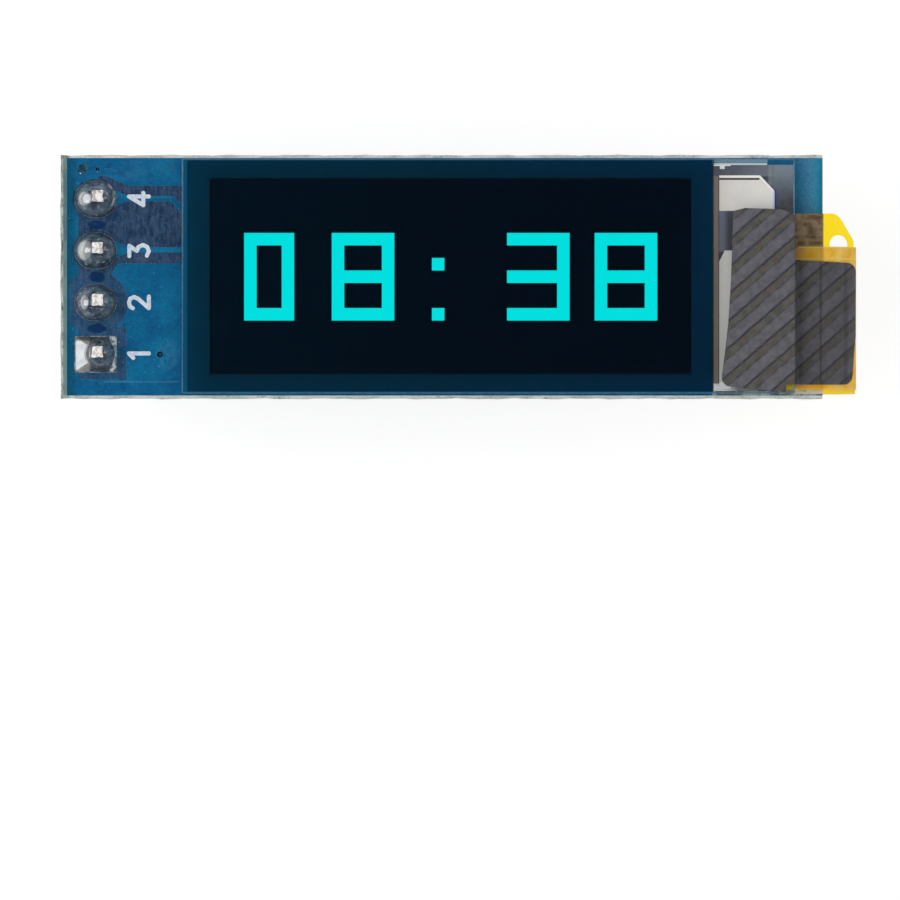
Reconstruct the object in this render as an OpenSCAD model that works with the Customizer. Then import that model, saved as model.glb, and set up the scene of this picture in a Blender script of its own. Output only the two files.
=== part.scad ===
// Small OLED display module: a glass display taped to a narrow circuit board, its flex
// circuit folded round the board's end, and a four-pin header soldered on from behind.
// The origin is at the middle of the pin row, on the underside of the header's housing.
// +X runs along the board to the flex end, +Y along the pin row, +Z out of the screen.

/* [Circuit board] */
// Length of the board
board_l = 37.5; // [33:0.5:42]
// Width of the board
board_w = 12; // [11.9:0.1:14]
// Thickness of the bare laminate
board_t = 1.2; // [1:0.1:1.6]
// Width of the scored bevel along the two long edges
score_side = 0.16; // [0.1:0.02:0.3]
// Width of the scored bevel along the header end
score_end = 0.34; // [0.2:0.02:0.34]
// Depth of each scored bevel
score_d = 0.35; // [0.2:0.05:0.4]
// How far the broken web of the scored edges wanders
break_rough = 0.035; // [0.01:0.005:0.05]
// Thickness of the copper foil
copper_t = 0.035; // [0.02:0.005:0.035]
// Thickness of the solder mask on bare laminate
mask_t = 0.045; // [0.04:0.005:0.06]
// Thickness of the solder mask over copper
mask_over_copper = 0.035; // [0.02:0.005:0.05]
// Gap between the ground pour and what it surrounds
pour_gap = 0.25; // [0.2:0.05:0.3]
// Width of the signal tracks on the front
track_w = 0.25; // [0.2:0.05:0.3]

/* [Pin header] */
// Distance between neighbouring pins
pin_pitch = 2.54; // [2.5:0.01:2.54]
// Side of a square pin
pin_w = 0.64; // [0.6:0.02:0.66]
// From the board's header end to the pin row
pin_inset = 1.75; // [1.7:0.05:2]
// Height of the plastic housing
housing_h = 2.54; // [2:0.02:3]
// Width of the plastic housing across the pin row
housing_w = 2.5; // [2:0.1:3]
// Length of a pin below the housing
pin_below = 6; // [3:0.5:9]
// Length of the taper at a pin's lower end
pin_point_l = 0.6; // [0.4:0.05:0.8]
// Height of a pin's cut end above the board
pin_above = 1.5; // [1.2:0.1:1.8]
// Diameter of a plated pin hole
pin_hole_d = 1; // [0.96:0.02:1.1]
// Length of a solder joint along the board
joint_l = 2.08; // [1.9:0.02:2.1]
// Width of a solder joint along the pin row
joint_w = 1.8; // [1.6:0.05:1.85]
// Height of a solder joint above its pad
joint_h = 0.95; // [0.7:0.05:1.1]

/* [Display glass] */
// From the pin row to the glass
glass_from_pins = 4.3; // [4:0.05:4.5]
// From the glass to the board's flex end
glass_end_gap = 1.45; // [1.3:0.05:1.6]
// Width of the glass
glass_w = 11.5; // [11:0.1:11.8]
// Thickness of the front glass
glass_t = 0.7; // [0.5:0.05:0.9]
// Length of the bare ledge past the rear glass
ledge_l = 3.98; // [3.8:0.02:4.1]
// Thickness of the rear glass
cap_t = 0.5; // [0.4:0.05:0.7]
// Depth of the pocket in the rear glass
cap_pocket = 0.25; // [0.1:0.05:0.3]
// Thickness of the sealing resin between the two glasses
seal_t = 0.03; // [0.02:0.005:0.05]
// Thickness of the double-sided mounting tape
mount_tape_t = 0.2; // [0.1:0.05:0.4]
// From the glass's header end to the dark screen
screen_inset = 1.45; // [1.4:0.01:1.6]
// From the dark screen to the end of the rear glass
screen_end_gap = 1.17; // [0.8:0.01:1.4]
// From the dark screen to the glass's long edges
screen_side_gap = 1.04; // [0.9:0.01:1.6]
// Thickness of the polariser
polariser_t = 0.2; // [0.1:0.05:0.3]
// Bare glass left round the polariser at its header end
polariser_inset = 0.27; // [0.15:0.01:0.4]
// Bare glass left along the polariser's long edges
polariser_gap = 0.1; // [0.05:0.01:0.2]
// Bevel on the edges of both glasses
glass_bevel = 0.05; // [0.03:0.01:0.08]

/* [Flex circuit] */
// Width of the flex circuit where it leaves the glass
flex_w = 8.85; // [8.6:0.05:9]
// Thickness of the flex circuit
flex_t = 0.1; // [0.07:0.01:0.15]
// From the board's lower long edge to the flex circuit
flex_edge_gap = 0.23; // [0.2:0.01:0.3]
// Overlap of the flex circuit under the front glass
flex_bond_l = 0.75; // [0.5:0.05:0.8]
// Radius of the first, slack part of the fold
fold_r = 1.7; // [1.6:0.05:1.85]
// Angle that the slack part of the fold turns through
fold_slack_angle = 60; // [50:1:65]
// Diameter of the alignment hole
flex_hole_d = 0.91; // [0.6:0.01:1]
// Thickness of the amber cover film
cover_t = 0.05; // [0.03:0.01:0.08]
// Distance between neighbouring contacts behind the board
contact_pitch = 0.62; // [0.56:0.01:0.62]
// Width of the cut-away corner of the flex circuit beside the alignment hole
ear_w = 1.4; // [1.2:0.05:1.6]
// Length of that corner's slanting edge along the board
ear_l = 0.98; // [0.8:0.02:1.1]
// From the board's flex end to the end of the flex circuit behind it
flex_end_gap = 4.15; // [3.75:0.05:4.6]

/* [Shading tape] */
// Thickness of the striped tape
tape_t = 0.07; // [0.04:0.01:0.1]
// Width of the tape's part on the glass
tape_wide = 9.02; // [8.6:0.02:9.1]
// Width of the tape's part on the flex circuit
tape_narrow = 6.11; // [5.5:0.01:6.5]
// From the board's lower long edge to the wide part
tape_edge_gap = 0.3; // [0.25:0.05:0.5]
// From the board's lower long edge to the narrow part
tape_neck_gap = 0.69; // [0.6:0.01:0.8]
// From the rear glass to the tape's lower corner
tape_from_cap = 0.4; // [0.35:0.01:0.5]
// Radius of the tape's corners
tape_corner_r = 0.45; // [0.3:0.05:0.6]

/* [Parts behind the board] */
// Length of a chip capacitor or resistor
chip_l = 1.6; // [1.5:0.05:1.7]
// Width of a chip capacitor or resistor
chip_w = 0.8; // [0.7:0.05:0.9]
// Height of a chip capacitor
capacitor_h = 0.8; // [0.6:0.05:0.95]
// Height of a chip resistor
resistor_h = 0.45; // [0.35:0.05:0.6]
// Length of a chip's metal end
chip_end = 0.35; // [0.25:0.05:0.4]
// Distance between neighbouring chips
chip_pitch = 2.4; // [2.2:0.05:2.5]
// From the board's middle line to each row of chips
chip_row_y = 3.3; // [3.1:0.05:3.5]
// Length of the regulator's body
regulator_l = 2.9; // [2.7:0.1:3]
// Width of the regulator's body
regulator_w = 1.3; // [1.2:0.1:1.4]
// Height of the regulator's body
regulator_h = 1; // [0.8:0.05:1.1]
// Length of the driver die, across the board
die_l = 5.6; // [5:0.1:5.8]
// Width of the driver die
die_w = 1; // [0.8:0.05:1.2]
// Thickness of the driver die
die_t = 0.3; // [0.2:0.02:0.4]

/* [Hidden] */
fine = 48;
eps = 0.01;
cut = 0.5;

pin_count = 4;
contact_count = 14;
capacitor_count = 7;
resistor_count = 4;

// Heights of the layers, from the housing's underside up
relief = copper_t + mask_over_copper;
board_z0 = housing_h + relief;
board_z1 = board_z0 + board_t;
face_z = board_z1 + relief;
cap_z0 = face_z + mount_tape_t;
seal_z0 = cap_z0 + cap_t;
glass_z0 = seal_z0 + seal_t;
glass_z1 = glass_z0 + glass_t;
screen_z = glass_z1 + polariser_t;
pad_z0 = board_z0 - copper_t;

// Ends of the board and of the glass along X
board_x0 = -pin_inset;
board_x1 = board_x0 + board_l;
mask_x0 = board_x0 + score_end;
mask_x1 = board_x1 - 0.05;
copper_inset = 0.1;
mask_y = board_w / 2 - score_side;
glass_x0 = glass_from_pins;
glass_x1 = board_x1 - glass_end_gap;
cap_x1 = glass_x1 - ledge_l;
screen_x0 = glass_x0 + screen_inset;
screen_x1 = cap_x1 - screen_end_gap;
screen_y = glass_w / 2 - screen_side_gap;
polariser_x0 = glass_x0 + polariser_inset;
polariser_w = glass_w - 2 * polariser_gap;

// Ground pour's openings on the front
pour_strip_x = -0.85;
pad_ring = 0.1;
field_x1 = glass_x0 + 0.8;
tab_x = joint_l / 2 + 0.48;
vias = [[-0.65, board_w / 2 - 0.7, 0.5], [0.1, board_w / 2 - 0.72, 0.2], [3.17, -3.82, 0.3]];

// Metal film on the ledge, in two fields with a slot between them
film_t = 0.01;
film_x0 = cap_x1 + 0.3;
film_y1 = glass_w / 2 - 0.81;
film_slot_y0 = 1.26;
film_slot_y1 = 3.2;
coat_t = 0.06;
coat_y0 = -glass_w / 2 + 0.12;
coat_y1 = glass_w / 2 - 0.29;

// Flex circuit, folded round the board's end
flex_y0 = -board_w / 2 + flex_edge_gap;
flex_y1 = flex_y0 + flex_w;
flex_x0 = glass_x1 - flex_bond_l;
flex_top = glass_z0 - flex_t / 2;
flex_bottom = housing_h - flex_t / 2;
flex_end_x = board_x1 - flex_end_gap;
fold_end_r = (flex_top - flex_bottom - fold_r * (1 - cos(fold_slack_angle))) / (1 + cos(fold_slack_angle));
fold_x1 = board_x1 + fold_r * sin(fold_slack_angle) + fold_end_r * (1 - sin(fold_slack_angle));
fold_steps = 10;
fold_z = flex_top - fold_r * (1 - cos(fold_slack_angle));
film_x1 = flex_x0 - 0.22;
film_y0 = flex_y0 + 0.45;
neck_y1 = flex_y1 - ear_w;
hole_x = fold_x1 - 0.84;
hole_y = neck_y1 - 0.11;
cover_x0 = glass_x1 + 0.02;
cover_y0 = flex_y0 + 0.2;
cover_y1 = neck_y1 - 0.22;
cover_end_x = flex_end_x + 1.6;

// Shading tape
tape_x0 = cap_x1 + tape_from_cap;
tape_y0 = -board_w / 2 + tape_edge_gap;
tape_y1 = tape_y0 + tape_wide;
neck_tape_y0 = -board_w / 2 + tape_neck_gap;
tape_step_x = glass_x1 + 0.03;
tape_foot_x = tape_step_x + 0.16;

// Contacts behind the board
contact_w = 0.36;
contact_l = 1.7;
contact_y1 = flex_y0 + 0.25 + contact_w / 2 + (contact_count - 1) * contact_pitch;
flare_y1 = contact_y1 + contact_w / 2 + 0.2;
bead_l = 0.8;
bead_h = 0.14;

// Chips behind the board: the row at +Y is numbered first
chip_count = capacitor_count + resistor_count;
upper_count = 5;
chip_field_gap = 5.6;
chip_x1 = flex_end_x - chip_field_gap;
function chip_x(i) = chip_x1 - chip_pitch * (i < upper_count ? i : i - upper_count);
function chip_y(i) = i < upper_count ? chip_row_y : -chip_row_y;
function is_resistor(i) = i % 3 == 1;
function rank(i) = len([for (k = [0:1:i]) if (is_resistor(k) == is_resistor(i)) k]);
function chip_name(i) = str(is_resistor(i) ? "resistor_" : "capacitor_", rank(i));
chip_pad = 0.8;
bus_pitch = 0.28;
bus_w = 0.15;
bus_gap = 1.8;
bus_y = chip_row_y - bus_gap;
regulator_x = chip_x(chip_count - 1) - chip_field_gap;
regulator_y = 0.9 - chip_row_y;
foot_pitch = 0.95;
foot_t = 0.13;
foot_w = 0.42;
foot_reach = 1.25;

// Pin 1, with the rectangular pad, is at -Y
function pin_y(i) = (i - (pin_count + 1) / 2) * pin_pitch;

// A slow wander for broken laminate, from -1 to 1
function wander(i) = (sin(i * 131) + sin(i * 57 + 40)) / 2;

function reversed(points) = [for (i = [len(points) - 1:-1:0]) points[i]];

// Points along an arc round c, from angle a0 to angle a1
function arc(c, r, a0, a1) =
    [for (k = [0:6]) c + r * [cos(a0 + (a1 - a0) * k / 6), sin(a0 + (a1 - a0) * k / 6)]];

// Round-ended bar along X
module stadium(l, w) {
    for (side = [-1, 1]) translate([side * (l - w) / 2, 0]) circle(d = w, $fn = fine);
    square([l - w, w], center = true);
}

// Unit normals of a run of points, lengthened at each bend so that the width stays constant
function run_normal(a, b) = [a.y - b.y, b.x - a.x] / norm(b - a);
function bend_normal(n1, n2) = (n1 + n2) / (1 + n1 * n2);
function beside(points, d) =
    let (last = len(points) - 1)
    [for (i = [0:last])
        points[i] + d * (i == 0 ? run_normal(points[0], points[1])
            : i == last ? run_normal(points[last - 1], points[last])
            : bend_normal(run_normal(points[i - 1], points[i]), run_normal(points[i], points[i + 1])))];

// Track of constant width along a list of points
module track(points, w) {
    polygon(concat(beside(points, w / 2), reversed(beside(points, -w / 2))));
}

// Rectangle in the XY plane, from its lowest corner to its highest
module span(x0, x1, y0, y1) {
    translate([x0, y0]) square([x1 - x0, y1 - y0]);
}

// Rectangle with its four corners rounded
module rounded_span(x0, x1, y0, y1, r) {
    span(x0 + r, x1 - r, y0, y1);
    span(x0, x1, y0 + r, y1 - r);
    for (x = [x0 + r, x1 - r], y = [y0 + r, y1 - r]) translate([x, y]) circle(r = r, $fn = fine);
}

// Rectangle with its four corners cut off
module clipped(l, w, c) {
    polygon([
        [-l / 2 + c, -w / 2], [l / 2 - c, -w / 2], [l / 2, -w / 2 + c], [l / 2, w / 2 - c],
        [l / 2 - c, w / 2], [-l / 2 + c, w / 2], [-l / 2, w / 2 - c], [-l / 2, -w / 2 + c]
    ]);
}

// Block standing on Z = 0 with its twelve edges bevelled
module bevelled_block(l, w, h, c) {
    intersection() {
        translate([0, 0, -eps]) linear_extrude(h + 2 * eps) clipped(l, w, c);
        translate([0, w / 2 + eps, h / 2]) rotate([90, 0, 0]) linear_extrude(w + 2 * eps) clipped(l, h, c);
        translate([-l / 2 - eps, 0, h / 2]) rotate([90, 0, 90]) linear_extrude(l + 2 * eps) clipped(w, h, c);
    }
}

// Extrudes a profile drawn in X and Z along Y, from y0 to y1
module along_y(y0, y1) {
    translate([0, y1, 0]) rotate([90, 0, 0]) linear_extrude(y1 - y0) children();
}

// Places a part with its own +Z down onto the pads behind the board
module behind_board(x, y) {
    translate([x, y, pad_z0]) rotate([180, 0, 0]) children();
}

// ---- Circuit board ----

module pad_outline(i) {
    translate([0, pin_y(i)])
        if (i == 1) square([joint_l, joint_w], center = true);
        else stadium(joint_l, joint_w);
}

module pin_pads() {
    for (i = [1:pin_count]) pad_outline(i);
}

module pin_holes() {
    for (i = [1:pin_count]) translate([0, pin_y(i)]) circle(d = pin_hole_d, $fn = fine);
}

module via_holes() {
    for (v = vias) translate([v.x, v.y]) circle(d = v[2], $fn = fine);
}

// The outline wanders along the three snapped edges and is straight at the flex end
module board_outline() {
    step = 0.5;
    side_n = floor(board_l / step);
    end_n = floor(board_w / step);
    polygon(concat(
        [for (i = [0:side_n - 1]) [board_x0 + i * step, -board_w / 2 + break_rough * wander(i)]],
        [[board_x1, -board_w / 2], [board_x1, board_w / 2]],
        [for (i = [side_n - 1:-1:0]) [board_x0 + i * step, board_w / 2 + break_rough * wander(i + 9)]],
        [for (i = [end_n - 1:-1:1]) [board_x0 + break_rough * wander(i + 5), -board_w / 2 + i * step]]
    ));
}

// Removes the scored bevel from an edge at Y = 0 whose board lies at +Y
module score_cut(width, length) {
    reach = 2 * break_rough;
    fall = score_d / width;
    for (face = [0, 1])
        translate([0, 0, face * board_t]) mirror([0, 0, 1 - face])
            rotate([90, 0, 90]) translate([0, 0, -cut])
                linear_extrude(length + 2 * cut)
                    polygon([
                        [width + eps, eps * fall], [width + eps, cut], [-reach, cut],
                        [-reach, -score_d - reach * fall]
                    ]);
}

module circuit_board() {
    color("darkseagreen")
    translate([0, 0, board_z0]) difference() {
        linear_extrude(board_t) difference() {
            board_outline();
            pin_holes();
            via_holes();
        }
        for (side = [-1, 1])
            mirror([0, side > 0 ? 1 : 0, 0])
                translate([board_x0, -board_w / 2, 0]) score_cut(score_side, board_l);
        translate([board_x0, board_w / 2, 0]) rotate([0, 0, -90]) score_cut(score_end, board_w);
    }
}

module mask_area() {
    difference() {
        span(mask_x0, mask_x1, -mask_y, mask_y);
        via_holes();
    }
}

module copper_area() {
    inner_y = mask_y - copper_inset;
    span(mask_x0 + copper_inset, mask_x1 - copper_inset, -inner_y, inner_y);
}

// Bare laminate on the front: round the pads and beside the two signal tracks
module front_field() {
    low_y = pin_y(2) - joint_w / 2 - 0.3;
    polygon([
        [pour_strip_x, pin_y(1) - joint_w / 2 - 0.35], [tab_x, pin_y(1) - joint_w / 2 - 0.35],
        [tab_x, low_y], [joint_l / 2 - 0.25, low_y], [joint_l / 2 - 0.25, pin_y(3) - 1.1],
        [joint_l / 2 + 0.1, pin_y(3) - 0.62], [field_x1, pin_y(3) - 0.62],
        [field_x1, pin_y(4) + 0.67], [joint_l / 2 + 0.55, pin_y(4) + 0.67],
        [0.55, pin_y(4) + 1.15], [0.2, pin_y(4) + 1.15], [-0.1, pin_y(4) + 0.8],
        [pour_strip_x, pin_y(4)]
    ]);
    for (i = [2:pin_count])
        translate([0, pin_y(i)]) stadium(joint_l + 2 * pad_ring, joint_w + 2 * pad_ring);
    translate([0, pin_y(2)]) circle(r = joint_l / 2 + 0.54, $fn = fine);
}

// Signal track that widens into its pad and may drop at 45 degrees at its far end
module signal_track(y, bend_x, drop) {
    neck_x = joint_l / 2 + 0.55;
    route = [[neck_x, y], [bend_x, y], [bend_x + max(drop, 0.1), y - drop]];
    polygon(concat(
        [[joint_l / 4, y + joint_w / 3]], beside(route, track_w / 2),
        reversed(beside(route, -track_w / 2)), [[joint_l / 4, y - joint_w / 3]]
    ));
}

module front_copper_outline() {
    difference() {
        union() {
            difference() {
                copper_area();
                front_field();
            }
            pin_pads();
            signal_track(pin_y(4) + 0.03, glass_x0 - 0.55, 0.9);
            signal_track(pin_y(3) + 0.06, glass_x0, 0);
            span(0, tab_x + eps, pin_y(1) - 0.12, pin_y(1) + 0.31);
        }
        pin_holes();
        via_holes();
    }
}

module contact_pads() {
    for (k = [0:contact_count - 1])
        translate([flex_end_x - bead_l, contact_y1 - k * contact_pitch - contact_w / 2])
            square([contact_l, contact_w]);
}

module chip_pads(i) {
    for (side = [-1, 1])
        translate([chip_x(i), chip_y(i) + side * (chip_l / 2 + 0.05)])
            square([chip_w + 0.2, chip_pad], center = true);
}

module regulator_pads() {
    for (foot = [[-1, -1], [1, -1], [0, 1]])
        translate([regulator_x + foot.x * foot_pitch, regulator_y + foot.y * foot_reach])
            square([foot_w + 0.3, 0.8], center = true);
}

module back_openings() {
    pin_pads();
    contact_pads();
    for (i = [0:chip_count - 1]) chip_pads(i);
    regulator_pads();
}

// Bare laminate behind the board: the field of the chips and that of the contacts
module back_field() {
    field_y = chip_row_y + chip_l / 2 + 0.3;
    contact_x = flex_end_x - bead_l - 0.3;
    span(regulator_x - regulator_l / 2 - 0.5, contact_x + eps, -field_y, field_y);
    span(contact_x, flex_end_x + contact_l, flex_y0 - 0.05, field_y);
    for (i = [2:pin_count])
        translate([0, pin_y(i)]) stadium(joint_l + 2 * pour_gap, joint_w + 2 * pour_gap);
}

// One track from each chip to a contact, beside the board's middle line
module bus_tracks(w) {
    for (i = [0:chip_count - 1]) {
        upper = i < upper_count;
        n = upper ? i : i - upper_count;
        side = upper ? 1 : -1;
        y = side * (bus_y - n * bus_pitch);
        contact = upper ? n + 1 : contact_count - 2 - n;
        contact_y = contact_y1 - contact * contact_pitch;
        fan_x = flex_end_x - bead_l - 0.5;
        track([
            [chip_x(i), chip_y(i) - side * (chip_l / 2 + 0.05)], [chip_x(i), y + side * 0.2],
            [chip_x(i) + 0.2, y], [fan_x - 1.6 + 0.2 * n, y], [fan_x, contact_y],
            [flex_end_x, contact_y]
        ], w);
    }
}

module back_copper_outline() {
    difference() {
        union() {
            difference() {
                copper_area();
                back_field();
            }
            back_openings();
            bus_tracks(bus_w);
        }
        pin_holes();
        via_holes();
    }
}

module front_copper() {
    color("peru")
    translate([0, 0, board_z1]) linear_extrude(copper_t) front_copper_outline();
}

module back_copper() {
    color("peru")
    translate([0, 0, pad_z0]) linear_extrude(copper_t) back_copper_outline();
}

// Solder mask that lies on the laminate at Z = 0 and steps up over the copper.
// children(0) is the copper's outline, children(1) the openings in the mask.
module mask_layer() {
    difference() {
        union() {
            linear_extrude(mask_t) mask_area();
            linear_extrude(relief) children(0);
        }
        translate([0, 0, -cut]) linear_extrude(cut + copper_t) children(0);
        translate([0, 0, -cut]) linear_extrude(2 * cut) children(1);
    }
}

module front_solder_mask() {
    color("steelblue")
    translate([0, 0, board_z1]) mask_layer() {
        front_copper_outline();
        pin_pads();
    }
}

module back_solder_mask() {
    color("steelblue")
    translate([0, 0, board_z0]) mirror([0, 0, 1]) mask_layer() {
        back_copper_outline();
        back_openings();
    }
}

// ---- Pin header ----

module header_housing() {
    notch = 0.35;
    color("dimgray")
    linear_extrude(housing_h) difference() {
        square([housing_w, pin_count * pin_pitch], center = true);
        for (side = [-1, 1], i = [0:pin_count]) translate([side * housing_w / 2, (i - pin_count / 2) * pin_pitch])
            rotate(45) square(notch * sqrt(2), center = true);
        for (i = [1:pin_count]) translate([0, pin_y(i)]) square(pin_w, center = true);
    }
}

// Side view of a pin: a long point below, a nicked cut end above
module pin_profile() {
    top = face_z + pin_above;
    nick_h = 0.12;
    nick_w = 0.05;
    polygon([
        [-pin_w / 4, -pin_below], [pin_w / 4, -pin_below],
        [pin_w / 2, -pin_below + pin_point_l], [pin_w / 2, top - nick_h],
        [pin_w / 2 - nick_w, top], [-pin_w / 2 + nick_w, top],
        [-pin_w / 2, top - nick_h], [-pin_w / 2, -pin_below + pin_point_l]
    ]);
}

module header_pin(i) {
    color("gold")
    translate([0, pin_y(i), 0]) intersection() {
        along_y(-pin_w, pin_w) pin_profile();
        rotate([0, 0, 90]) along_y(-pin_w, pin_w) pin_profile();
    }
}

// Quarter of a rounded outline, from the rim at Z = 0 to the top at the middle
function dome_profile(r, h) = concat(
    [[0, 0]], [for (k = [0:8]) [r * pow(cos(k * 90 / 8), 0.8), h * pow(sin(k * 90 / 8), 0.9)]]
);

module dome(r, h) {
    rotate_extrude($fn = 32) polygon(dome_profile(r, h));
}

// Solder fills the plated hole and rises round the pin as an oval lump
module pin_solder(i) {
    on_rectangle = i == 1;
    spread = (joint_l - joint_w) / 2;
    r = on_rectangle ? joint_w * 0.42 : joint_w / 2;
    wetting = 0.06;
    color("silver")
    translate([0, pin_y(i), 0]) difference() {
        union() {
            translate([0, 0, board_z1 + copper_t + (on_rectangle ? wetting : 0)])
                hull() for (side = [-1, 1]) translate([side * spread, 0, 0]) dome(r, joint_h);
            if (on_rectangle)
                translate([0, 0, board_z1 + copper_t]) linear_extrude(wetting)
                    square([joint_l, joint_w], center = true);
            translate([0, 0, pad_z0]) cylinder(d = pin_hole_d, h = board_z1 + copper_t - pad_z0 + eps, $fn = fine);
        }
        translate([0, 0, board_z0 - cut])
            linear_extrude(board_t + joint_h + 2 * cut) square(pin_w, center = true);
    }
}

// ---- Display glass ----

module mounting_tape() {
    inset = 0.2;
    color("ghostwhite")
    translate([0, 0, face_z]) linear_extrude(mount_tape_t)
        span(glass_x0 + inset, cap_x1 - inset, -glass_w / 2 + inset, glass_w / 2 - inset);
}

module cap_glass() {
    rim = 0.1;
    color("lightsteelblue", 0.6)
    difference() {
        translate([(glass_x0 + cap_x1) / 2, 0, cap_z0])
            bevelled_block(cap_x1 - glass_x0, glass_w, cap_t, glass_bevel);
        translate([0, 0, seal_z0 - cap_pocket]) linear_extrude(cap_pocket + cut)
            span(screen_x0 - rim, screen_x1 + rim, -screen_y - rim, screen_y + rim);
    }
}

module edge_seal() {
    inset = 0.08;
    gap = 0.1;
    color("darkslategray")
    translate([0, 0, seal_z0]) linear_extrude(seal_t) difference() {
        span(glass_x0 + inset, cap_x1 - inset, -glass_w / 2 + inset, glass_w / 2 - inset);
        span(screen_x0 - gap, screen_x1 + gap, -screen_y - gap, screen_y + gap);
    }
}

// The organic layers and their metal backing, on the inner face of the front glass
module pixel_layer() {
    layer_t = seal_t * 2 / 3;
    color("black")
    translate([0, 0, glass_z0 - layer_t]) linear_extrude(layer_t)
        span(screen_x0, screen_x1, -screen_y, screen_y);
}

module display_glass() {
    color("lightsteelblue", 0.6)
    translate([(glass_x0 + glass_x1) / 2, 0, glass_z0])
        bevelled_block(glass_x1 - glass_x0, glass_w, glass_t, glass_bevel);
}

module polariser() {
    color("midnightblue")
    translate([0, 0, glass_z1]) linear_extrude(polariser_t)
        span(polariser_x0, cap_x1, -polariser_w / 2, polariser_w / 2);
}

// Alignment mark on the ledge: a bar with a short stem towards the middle
module ledge_mark() {
    translate([cap_x1 + 0.45, glass_w / 2 - 0.3]) {
        square([0.83, 0.1], center = true);
        translate([0, -0.12]) square([0.24, 0.16], center = true);
    }
}

// Two fields with cut corners, and the two alignment marks
module film_outline() {
    clip_x = 0.71;
    clip_y = 0.76;
    nose = 0.27;
    polygon([
        [film_x0, film_slot_y1], [film_x1, film_slot_y1], [film_x1, film_y1 - clip_y],
        [film_x1 - clip_x, film_y1], [film_x0, film_y1]
    ]);
    polygon([
        [film_x0, film_y0], [film_x1, film_y0], [film_x1, film_slot_y0],
        [film_x0 + nose, film_slot_y0], [film_x0, film_slot_y0 - 2 * nose]
    ]);
    for (side = [0, 1]) mirror([0, side]) ledge_mark();
}

// Metal film on the inner face of the ledge
module electrode_film() {
    color("lightgray")
    translate([0, 0, glass_z0 - film_t]) linear_extrude(film_t) film_outline();
}

module die_place() {
    translate([(film_x0 + film_x1) / 2 + 0.15, (film_y0 + film_slot_y0) / 2]) children();
}

// Driver die, bonded to the film behind the tape
module driver_chip() {
    color("slategray")
    translate([0, 0, glass_z0 - film_t]) die_place() mirror([0, 0, 1]) bevelled_block(die_w, die_l, die_t, 0.02);
}

// Protective resin over the ledge's inner face, round the die and up to the flex circuit
module ledge_coat() {
    color("dimgray")
    translate([0, 0, glass_z0 - coat_t]) difference() {
        linear_extrude(coat_t) difference() {
            span(cap_x1, glass_x1 - 0.05, coat_y0, coat_y1);
            span(flex_x0, glass_x1 + 1, flex_y0, flex_y1);
            die_place() square([die_w, die_l], center = true);
        }
        translate([0, 0, coat_t - film_t]) linear_extrude(cut) film_outline();
    }
}

// ---- Flex circuit ----

// Points round the fold, at a distance d outside the flex circuit's middle line, as far as
// the given share of its second arc
function fold_points(d, share) =
    let (start = 90 - fold_slack_angle,
         c1 = [board_x1, flex_top - fold_r],
         c2 = c1 + (fold_r - fold_end_r) * [cos(start), sin(start)])
    concat(
        [for (k = [0:fold_steps])
            c1 + (fold_r + d) * [cos(90 - k * fold_slack_angle / fold_steps),
                                 sin(90 - k * fold_slack_angle / fold_steps)]],
        [for (k = [1:round(2 * fold_steps * share)])
            c2 + (fold_end_r + d) * [cos(start - k * (90 + start) / (2 * fold_steps)),
                                     sin(start - k * (90 + start) / (2 * fold_steps))]]
    );

// Side of the folded strip, d outside its middle line, from x_top over the fold to x_bottom
function strip_side(x_top, x_bottom, d) = concat(
    [[x_top, flex_top + d]], fold_points(d, 1), [[x_bottom, flex_bottom - d]]
);

module folded_strip(x_top, x_bottom, d0, d1) {
    along_y(-board_w, board_w)
        polygon(concat(strip_side(x_top, x_bottom, d0), reversed(strip_side(x_top, x_bottom, d1))));
}

// Keeps the upper half of a folded strip to children(0) and the lower half to children(1)
module trim_halves() {
    translate([0, 0, fold_z]) linear_extrude(2 * fold_r) children(0);
    translate([0, 0, fold_z - 4 * fold_r]) linear_extrude(4 * fold_r) children(1);
}

module flex_circuit() {
    far = fold_x1 + 1;
    color("gold", 0.9)
    difference() {
        intersection() {
            folded_strip(flex_x0, flex_end_x, -flex_t / 2, flex_t / 2);
            trim_halves() {
                polygon([
                    [flex_x0 - 1, flex_y0], [far, flex_y0], [far, neck_y1], [fold_x1, neck_y1],
                    [fold_x1 - 0.76 * ear_l, flex_y1 - 0.22], [fold_x1 - 0.95 * ear_l, flex_y1 - 0.06],
                    [fold_x1 - 1.15 * ear_l, flex_y1], [flex_x0 - 1, flex_y1]
                ]);
                polygon([
                    [flex_end_x - 1, flex_y0], [far, flex_y0], [far, cover_y1],
                    [board_x1 - 0.4, cover_y1], [board_x1 - 1.6, flare_y1], [flex_end_x - 1, flare_y1]
                ]);
            }
        }
        translate([hole_x, hole_y, fold_z]) cylinder(d = flex_hole_d, h = 2 * fold_r, $fn = fine);
    }
}

module flex_cover() {
    color("darkorange")
    intersection() {
        folded_strip(cover_x0, cover_end_x, flex_t / 2, flex_t / 2 + cover_t);
        trim_halves() {
            rounded_span(cover_x0, fold_x1 + 2, cover_y0, cover_y1, 0.3);
            rounded_span(cover_end_x, fold_x1 + 2, cover_y0, cover_y1, 0.3);
        }
    }
}

// One bead of solder over each contact, against the end of the flex circuit
module flex_solder() {
    bead_r = (pow(contact_w / 2, 2) + pow(bead_h, 2)) / (2 * bead_h);
    color("silver")
    for (k = [0:contact_count - 1])
        behind_board(flex_end_x - bead_l, contact_y1 - k * contact_pitch)
            rotate([90, 0, 90]) linear_extrude(bead_l) intersection() {
                translate([0, bead_h - bead_r]) circle(r = bead_r, $fn = fine);
                translate([-contact_w, 0]) square([2 * contact_w, 2 * bead_h]);
            }
}

// ---- Shading tape ----

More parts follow.
